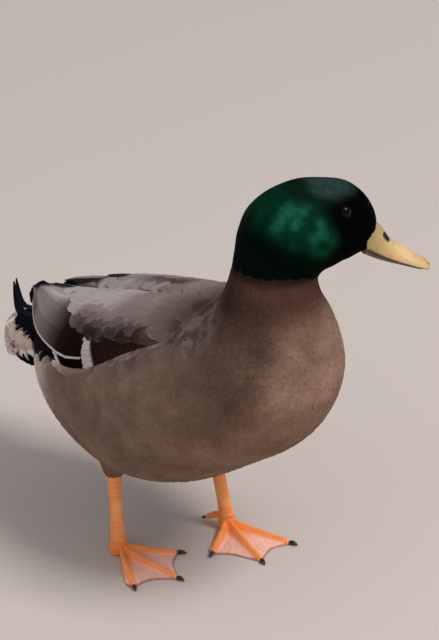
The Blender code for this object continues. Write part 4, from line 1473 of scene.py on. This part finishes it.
def ringLoft(rings):
    # a loft whose last ring joins its first, as for a lid
    rows, corners = rings.shape[:2]
    k, m = np.arange(rows)[:, None], np.arange(corners)
    far, after = (k + 1) % rows, (m + 1) % corners
    near, far = k * corners, far * corners
    quads = np.stack([near + m, far + m, far + after, near + after], axis=-1).reshape(-1, 4)
    vertices = rings.reshape(-1, 3)
    if facesInward(vertices, quads):
        quads = quads[:, ::-1]
    return vertices, quads.reshape(-1), np.full(rows * corners, 4)


def lidTone(points):
    # nearly black, in fine lumps
    return eyeColours["lid"] * (0.8 + 0.5 * cloud(points, 0.8))[..., None]


eyeMaterial = newMaterial("eyes", {"Roughness": 0.08, "Specular IOR Level": 0.1})
eyeTree = eyeMaterial.node_tree
eyeShader = eyeTree.nodes["Principled BSDF"]
irisTone = newNode(eyeTree, "ShaderNodeAttribute", attribute_name="tone")
eyeTree.links.new(irisTone.outputs["Color"], eyeShader.inputs["Base Color"])
for side, where in sideName.items():
    ball = joinedShells(f"eye_ball_{where}", [closedShell(eyeBall(side))], eyeTone)
    finish(ball, eyeMaterial)
    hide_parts(f"eye_{where}")
    finish(joinedShells(f"lids_{where}", [ringLoft(lidRing(side))], lidTone), headFeather)

# The bill's halves by ahead: half width, the edge where they meet, and the top or underside.
upperBill = (
    (-6.5, 11.8, -0.5, 18.2), (-3.7, 11.5, -0.7, 17.5), (-1, 10.9, -1.0, 16.6),
    (1.5, 10.2, -1.5, 15.4), (6, 9.4, -2.2, 12.8), (11, 9.2, -2.5, 9.7), (17, 9.3, -2.6, 7.9),
    (25, 9.9, -2.3, 6.3), (33, 11, -1.6, 4.3), (39.5, 10.9, -1, 2.6), (43.8, 8.6, -1.2, 1.6),
    (46.4, 4, -2.1, 0.2), (47, 1.5, -2.4, -1.0),
)
lowerBill = (
    (-3.7, 9.6, -1.2, -6), (6, 8.6, -2.8, -6.6), (17, 8.3, -3.2, -6.2), (25, 8.6, -2.9, -5.2),
    (33, 9.6, -2.2, -4.3), (39.5, 8.6, -1.7, -3.8), (43, 4.2, -2.4, -3.8), (43.6, 1.6, -2.7, -3.6),
)
billTerms = {"squareness": 2.4, "arch": 0.85, "under": 0.12, "sideHollow": 0.5}
nostril = {"ahead": 6.6, "above": 10.6, "long": 4.2, "high": 2.2, "deep": 1.3, "slope": 0.45}
nail = {"ahead": 44.4, "long": 3.6, "wide": 3.9, "raised": 0.4, "lowest": -1.6}
# nostril, gape and lower carry painted shade: inside the nostrils, under the upper half's edge, and
# over the lower half's brown
billColours = {
    "root": linear(166, 146, 98), "straw": linear(196, 164, 108), "middle": linear(212, 176, 132),
    "ridge": linear(112, 96, 58), "mottle": linear(132, 108, 68), "nostril": linear(9, 7, 6),
    "tip": linear(196, 160, 108), "nail": linear(150, 112, 70), "nailRim": linear(52, 34, 20),
    "gape": linear(46, 32, 18), "lower": linear(92, 64, 44),
}


def nostrilAt(ahead, above):
    # 1 in the middle of the nostril's slanting oval, 0 outside it
    offset = ahead - nostril["ahead"]
    across = (above - nostril["above"] + nostril["slope"] * offset) / nostril["high"]
    return np.exp(-(((offset / nostril["long"]) ** 2 + across**2) ** 1.6))


def offNail(ahead, left):
    # 0 in the middle of the nail, 1 on its rim
    return np.hypot((ahead - nail["ahead"]) / nail["long"], left / nail["wide"])


def billHalf(rows, isUpper):
    # rings that arch between the edge and the top or underside: half width * squared cos, and
    # edge + (far - edge) * (sin^arch + under * -sin)
    places = np.linspace(0, len(rows) - 1, 190)
    turn = around(72)
    ahead, halfWidth, edge, far = np.moveaxis(curveAt(rows, places), -1, 0)[..., None]
    side = squared(np.cos(turn), billTerms["squareness"])
    height = np.sin(turn)
    arch = np.maximum(height, 0) ** billTerms["arch"]
    arch = arch + billTerms["under"] * np.maximum(-height, 0)
    above = edge + (far - edge) * arch
    ahead, left, above = np.broadcast_arrays(ahead, halfWidth * side, above)
    if isUpper:
        # hooded nostrils near the ridge, a shallow hollow along each side, and a raised nail
        top = height > 0
        pit = nostrilAt(ahead, above) * top
        hood = nostrilAt(ahead + 0.5, above - 1.6) * top
        left = left * (1 - (nostril["deep"] * pit - 0.35 * hood) / 7.0)
        onNail = (1 - smooth(offNail(ahead, left), 0.85, 1.0)) * (height > 0.2)
        hollow = bump(np.abs(left), 7.5, 2.0) * bump(ahead, 24, 12) * top
        above = above + nail["raised"] * onNail - billTerms["sideHollow"] * hollow
    return fromHead(np.stack([ahead, left, above], axis=-1))


def billTone(points):
    # straw yellow, duller at the root and along the ridge and paler along the middle, with
    # nostrils painted dark as the shade inside them, a toned nail with a dark rim in front, a dark
    # line of painted shade where the halves meet, and a lower half whose brown is darkened by
    # painted shade
    ahead, left, above = toHead(points)
    aside = np.abs(left)
    tone = mix(billColours["root"], billColours["straw"], smooth(ahead, -4, 14))
    tone = mix(tone, billColours["middle"], 0.8 * bump(ahead, 24, 10))
    ridge = bump(aside, 0, 3.5) * (1 - smooth(ahead, 4, 18))
    tone = mix(tone, billColours["ridge"], 0.5 * ridge)
    mottle = smooth(cloud(points, 2.2), 0.55, 0.8) * smooth(cloud(points + 7, 6), 0.4, 0.7)
    tone = mix(tone, billColours["mottle"], 0.3 * mottle)
    # the nostrils' darkness is painted shade inside the openings
    pit = smooth(nostrilAt(ahead, above), 0.3, 0.7) * (aside > 2)
    tone = mix(tone, billColours["nostril"], pit)
    tone = mix(tone, billColours["tip"], 0.7 * smooth(ahead, 38, 42))
    onTop = above > nail["lowest"]
    onNail = (1 - smooth(offNail(ahead, left), 0.8, 1.0)) * onTop
    tone = mix(tone, billColours["nail"], 0.5 * onNail)
    rim = bump(offNail(ahead, left), 1.0, 0.24) * onTop * smooth(ahead, 42, 45)
    tone = mix(tone, billColours["nailRim"], 0.85 * rim)
    edges = np.array(upperBill)
    gape = above - np.interp(ahead, edges[:, 0], edges[:, 2])
    # a dark line of painted shade where the upper half overhangs the lower
    tone = mix(tone, billColours["gape"], 0.85 * bump(gape, -0.2, 0.5))
    # the lower half's own brown, darkened further by painted shade beneath the upper half
    return mix(tone, billColours["lower"], 0.85 * (gape < -0.8) * (ahead > -3))


rootSleeve = (-13, -3, 0.45)  # from and to, ahead of the mouth, and its depth under the coat


def billRoot():
    # the bare skin at the bill's root, a sleeve just over the head's skin
    back, front, depth = rootSleeve
    ahead = toHead(body["values"][..., :3].mean(axis=1))[0]
    rows = np.flatnonzero((ahead > back) & (ahead < front))
    values = body["values"][rows[0] : rows[-1] : 2, ::4]
    return closedShell(values[..., :3] - depth * values[..., 3:6])


billLook = {
    "shader": {
        "Roughness": 0.42, "Specular IOR Level": 0.35, "Subsurface Weight": 0.08,
        "Subsurface Radius": (0.004, 0.002, 0.001),
    },
    "bump": 0.25, "relief": 0.0002, "group": {"Size": 900},
}
billMaterial = groupMaterial("bill", grain, billLook)
for name, rows, isUpper in (("bill_upper", upperBill, True), ("bill_lower", lowerBill, False)):
    shells = [closedShell(billHalf(rows, isUpper))] + [billRoot()] * isUpper
    half = joinedShells(f"{name}_horn", shells, billTone)
    finish(half, billMaterial)
    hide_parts(name)
print("face")

# Toes: degrees outwards and length; the web hangs between them. Where their joints swell, how
# widely and how much.
toes = {"inner": (-39, 42), "middle": (0, 57), "outer": (34.5, 52)}
toeJoints = ((16, 4, 1), (32, 4, 1), (45, 3.5, 0.8))
footTerms = {
    "width": 4.1, "height": 6.2, "edge": 6, "taper": 0.35, "web": 1.1, "scallop": 0.15,
    "shorter": 0.12, "ripple": 0.06, "fold": 0.07,
}
# The hind toe's path from the joint, and the radii along it, at the joint and up the shank,
# whose plates have a height in front and another behind, where they also stand in columns.
hindToe = ((0, 0, 8.4), (-5.5, -3.6, 8.0), (-10, -6.6, 5.8), (-13.5, -9.2, 3.4))
hindRadii = (2.9, 2.6, 2.2, 1.7)
knuckleRadii = (6.0, 6.2, 6.1, 5.6)
shankRadii = (6.1, 5.3, 5.2, 5.6)
plates = {
    "front": 0.2, "frontHigh": 3.3, "backHigh": 2.4, "step": 0.12, "columns": 5, "relief": 0.14,
    "level": 0.8, "slim": 0.14,
}
footColours = {
    "toe": linear(255, 146, 72), "toeLight": linear(255, 186, 118), "fold": linear(214, 106, 50),
    "web": linear(248, 186, 168), "webDark": linear(226, 152, 126), "rim": linear(104, 66, 52),
    "shank": linear(255, 158, 86), "shankLight": linear(255, 188, 124),
}


def footSheet(side):
    # toes and web over the floor, from the joint out and from the inner toe to the outer:
    # height = web + (crest - web) * ridge + relief, with ridge = exp(-1.2 * (off / width)^2)
    angles = np.array([toe[0] for toe in toes.values()], float)
    lengths = np.array([toe[1] for toe in toes.values()], float)
    edge = footTerms["edge"]
    marks = [angles[0] - edge, *angles, angles[-1] + edge]
    runs = []
    for before, after, count in zip(marks, marks[1:], (12, 64, 60, 12)):
        runs.append(np.linspace(before, after, count, endpoint=False))
    spread = np.concatenate([*runs, marks[-1:]])[:, None]
    share = np.concatenate([np.linspace(0.05, 0.96, 90), [0.975, 0.988, 0.996, 1.0]])
    dip = 0
    for before, after in zip(angles, angles[1:]):
        dip = dip + np.sin(np.pi * np.clip((spread - before) / (after - before), 0, 1))
    past = np.maximum(np.maximum(angles[0] - spread, spread - angles[-1]), 0) / edge
    shorter = footTerms["scallop"] * dip + footTerms["shorter"] * past**2
    reach = np.interp(spread, angles, lengths) * (1 - shorter)
    radius = reach * share
    offToe = np.radians(np.min(np.abs(spread - angles), axis=1))[:, None] * radius
    knuckle = (knuckleHeight - footTerms["height"]) * np.exp(-radius / 7)
    # toe joints swell and the skin between them folds
    joints = sum(size * bump(radius, place, width) for place, width, size in toeJoints)
    crest = footTerms["height"] * (1 - 0.42 * share**1.5) + knuckle + 0.3 * joints - 0.15
    width = footTerms["width"] * (1 - footTerms["taper"] * share) * (1 + 0.08 * joints)
    ridge = np.exp(-1.2 * (offToe / width) ** 2)
    heading = np.radians(spread)
    ripple = np.sin(radius * 2 * np.pi / 2.6 + 1.3 * np.sin(spread * 0.4)) * smooth(radius, 6, 12)
    folds = np.sin(heading * 46 + 2 * np.sin(radius * 0.35)) * (1 - ridge) * smooth(radius, 8, 16)
    web = footTerms["web"] * (1 - 0.5 * smooth(share, 0.97, 1.0))
    relief = footTerms["ripple"] * ripple * ridge + footTerms["fold"] * folds
    top = web + (crest - web) * ridge + relief
    top = top * (1 - 0.85 * smooth(share, 0.955, 1.0) ** 2 * (0.3 + 0.7 * ridge))
    top = np.maximum(top, 0.15) * (1 - smooth(past, 0.9, 1.0))
    points = np.stack([radius * np.cos(heading), side * radius * np.sin(heading), top], axis=-1)
    return points, ridge, ripple, share, folds


def footTone(ridge, ripple, share, folds, points):
    # orange on the toes, lighter on their plates, and pink web with a dark rim
    shade = cloud(points, 6)[..., None]
    toe = mix(footColours["toe"], footColours["toeLight"], smooth(ripple, -0.4, 0.9) * 0.35)
    toe = mix(toe, footColours["fold"], 0.25 * (1 - smooth(ripple, -1.0, -0.5)))
    web = mix(footColours["web"], footColours["webDark"], 0.35 * smooth(folds, 0.2, 1))
    web = mix(web, footColours["toe"], 0.7 * (1 - smooth(share, 0.25, 0.6)))
    tone = mix(web, toe, smooth(ridge, 0.12, 0.5)) * (0.9 + 0.2 * shade)
    rim = smooth(share, 0.955, 0.985) * (1 - smooth(ridge, 0.4, 0.8))
    return mix(tone, footColours["rim"], 0.7 * rim)


def shankShell(name):
    # the scaled leg from the toes' joint to the hock: rows of low plates round the front
    low, top = knuckleHeight - 1.5, hockHeight + 5
    share = np.linspace(0, 1, 150)
    joint = np.array([*feet[name]["joint"], knuckleHeight])
    hock = np.array([*feet[name]["hock"], hockHeight])
    path = joint + (hock - joint) * np.linspace(-0.035, 1.11, 150)[:, None]
    radii = curveAt(np.array(shankRadii)[:, None], share * 3)[:, 0]
    radii = radii + 0.5 * bump(share, 0.0, 0.09) + 0.6 * bump(share, 0.88, 0.08)
    rings = tubeRings(path, radii, 72)
    turn = around(72)
    # plate = |sin(pi * (height / high + step * sin(2 * turn)))|^0.35, so each plate is round and
    # its seam thin; the shank is a little slimmer from side to side
    facing = unit(rings - path[:, None])
    front = facing[..., 0] > plates["front"]
    height = share[:, None] * (top - low)
    rowHeight = np.where(front, height / plates["frontHigh"], height / plates["backHigh"])
    plate = np.abs(np.sin(np.pi * (rowHeight + plates["step"] * np.sin(turn * 2)))) ** 0.35
    column = np.abs(np.sin(turn * plates["columns"])) ** 0.3
    plate = np.where(front, plate, plate * (0.5 + 0.5 * column))
    rings = rings + plates["relief"] * (plate - plates["level"])[..., None] * facing
    slim = 1 - plates["slim"] * np.abs(facing[..., 1:2])
    rings = path[:, None] + (rings - path[:, None]) * slim
    tone = mix(footColours["fold"], footColours["shank"], 0.4 + 0.6 * smooth(plate, 0.25, 0.75))
    tone = mix(tone, footColours["shankLight"], 0.6 * smooth(cloud(rings, 7), 0.35, 0.75))
    return closedShell(rings), tone.reshape(-1, 3)


def roundShell(path, radii, sides, name):
    # a round limb along a path, with folds: radius * (1 + 0.02 * (|sin(place)|^0.5 - 0.7))
    path = np.asarray(path, float)
    count = 40
    shares = np.linspace(0, len(path) - 1, count)
    rings = tubeRings(curveAt(path, shares), curveAt(np.array(radii)[:, None], shares)[:, 0], sides)
    height = np.arange(count)[:, None] + 0 * rings[..., 0]
    folds = np.abs(np.sin(height * 0.42)) ** 0.5
    middle = rings.mean(axis=1, keepdims=True)
    rings = middle + (rings - middle) * (1 + 0.02 * (folds - 0.7))[..., None]
    tone = mix(footColours["fold"], footColours["toe"], 0.4 + 0.6 * smooth(folds, 0.1, 0.6))
    return closedShell(onFoot(rings, name)), tone.reshape(-1, 3)


legLook = {
    "shader": {
        "Roughness": 0.45, "Specular IOR Level": 0.4, "Subsurface Weight": 0.1,
        "Subsurface Radius": (0.004, 0.0015, 0.0008),
    },
    "bump": 0.25, "relief": 0.0002, "group": {"Size": 1300},
}
clawLook = {
    "shader": {"Roughness": 0.35}, "bump": 0.3, "relief": 0.0002, "group": {"Size": 700},
}
legMaterial = groupMaterial("legs", grain, legLook)
clawMaterial = groupMaterial("claws", grain, clawLook)
clawTerms = {"length": 5.2, "radius": 1.6, "gap": 0.6, "taper": (1.0, 0.95, 0.8, 0.55, 0.12)}


def clawShell(name, tip, behind, droop, scale):
    # each leaves its toe's tip, arches and droops: 0.5 * sin(pi * share) - droop * share^2
    tip, behind = np.asarray(tip, float), np.asarray(behind, float)
    heading = unit(tip - behind)
    share = np.linspace(-0.15, 1, 24)[:, None]
    path = tip + heading * (clawTerms["gap"] + clawTerms["length"] * scale * share)
    path[:, 2] += (0.5 * np.sin(np.pi * share) - droop * share**2)[:, 0]
    taper = np.interp(share[:, 0], np.linspace(0, 1, 5), clawTerms["taper"])
    radii = clawTerms["radius"] * scale * taper
    return closedShell(onFoot(tubeRings(path, radii, 20), name))


def clawTone(points):
    # dark horn, a little mottled
    return linear(34, 26, 22) * (0.6 + 0.7 * cloud(points, 1.5))[..., None]


def joinedWithTones(name, parts):
    # shells that bring their own tones, as one mesh
    tones = np.concatenate([tone for _, tone in parts])
    return joinedShells(name, [shell for shell, _ in parts], tones)


for name, foot in feet.items():
    side = foot["side"]
    sheet, ridge, ripple, share, folds = footSheet(side)
    share = np.broadcast_to(share, ridge.shape)
    tone = footTone(ridge, ripple, share, folds, sheet)
    under = sheet * np.array([1, 1, 0])
    rings = np.concatenate([sheet, under[:, ::-1]], axis=1)
    tones = np.concatenate([tone, 0.8 * tone[:, ::-1]], axis=1)
    slab = closedShell(onFoot(rings, name)), tones.reshape(-1, 3)
    knuckle = [(0, 0, rise * knuckleHeight) for rise in (0.06, 0.4, 0.75, 1.1)]
    hind = np.array(hindToe) * np.array([1, side, 1])
    joint = roundShell(knuckle, knuckleRadii, 40, name)
    parts = [slab, joint, roundShell(hind, hindRadii, 28, name)]
    footSkin = joinedWithTones(f"foot_skin_{name}", parts)
    finish(footSkin, legMaterial)
    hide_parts(f"foot_{name}")
    shank = joinedWithTones(f"shank_skin_{name}", [shankShell(name)])
    finish(shank, legMaterial)
    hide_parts(f"shank_{name}")
    clawShells = [clawShell(name, hind[-1], hind[-2], 0, 0.8)]
    rest = clawTerms["radius"] + 0.15
    for degrees, length in toes.values():
        heading = math.radians(degrees)
        tip = (length * math.cos(heading), side * length * math.sin(heading), rest)
        clawShells.append(clawShell(name, tip, (0, 0, rest), 1.0, 1.0))
    claws = joinedShells(f"claws_{name}", clawShells, clawTone)
    finish(claws, clawMaterial)
    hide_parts(*(f"claw_{toe}_{name}" for toe in ("hind", "inner", "middle", "outer")))
print("legs")

# The plain studio, in metres: a pale floor, a soft key from the front, and a pale sky.
studio = {
    "floor": (196, 182, 174), "floorHalf": 9, "sky": (0.9, 0.94, 1.0), "skyStrength": 0.5,
    "keyPlace": (0.9, -2.2, 3.5), "keySize": 1.6, "keyEnergy": 135,
    "fillPlace": (-2.6, -0.6, 2.2), "fillSize": 2.5, "fillEnergy": 12,
}
# Where the camera looks, from how far, and its lens.
view = {
    "target": (originX + 0.007, originY - 0.0355, 0.185), "azimuth": -38.3, "elevation": 27,
    "away": 4.0, "lens": 328.5,
}

floorLook = {"Roughness": 0.9, "Base Color": (*linear(*studio["floor"]), 1)}
floorMaterial = newMaterial("floor", floorLook)
floorMesh = bpy.data.meshes.new("floor")
half = studio["floorHalf"]
corners = [(-half, -half, 0), (half, -half, 0), (half, half, 0), (-half, half, 0)]
floorMesh.from_pydata(corners, [], [(0, 1, 2, 3)])
floorMesh.materials.append(floorMaterial)
floor = bpy.data.objects.new("floor", floorMesh)
bpy.context.scene.collection.objects.link(floor)

world = bpy.data.worlds.new("studio")
bpy.context.scene.world = world
world.use_nodes = True
sky = world.node_tree.nodes["Background"]
sky.inputs["Color"].default_value = (*studio["sky"], 1)
sky.inputs["Strength"].default_value = studio["skyStrength"]


def areaLight(name):
    # one of the studio's square lights, turned to what the camera looks at
    place = Vector(studio[name + "Place"])
    light = bpy.data.objects.new(name, bpy.data.lights.new(name, "AREA"))
    bpy.context.scene.collection.objects.link(light)
    light.location = place
    light.rotation_euler = (place - Vector(view["target"])).to_track_quat("Z", "Y").to_euler()
    light.data.size = studio[name + "Size"]
    light.data.energy = studio[name + "Energy"]


areaLight("key")
areaLight("fill")

camera = bpy.data.objects.new("camera", bpy.data.cameras.new("camera"))
bpy.context.scene.collection.objects.link(camera)
bpy.context.scene.camera = camera
camera.data.lens = view["lens"]
azimuth, elevation = math.radians(view["azimuth"]), math.radians(view["elevation"])
level = math.cos(elevation)
outward = Vector((math.sin(azimuth) * level, -math.cos(azimuth) * level, math.sin(elevation)))
camera.location = Vector(view["target"]) + outward * view["away"]
camera.rotation_euler = outward.to_track_quat("Z", "Y").to_euler()
bpy.context.scene.view_settings.view_transform = "Standard"
print("studio")
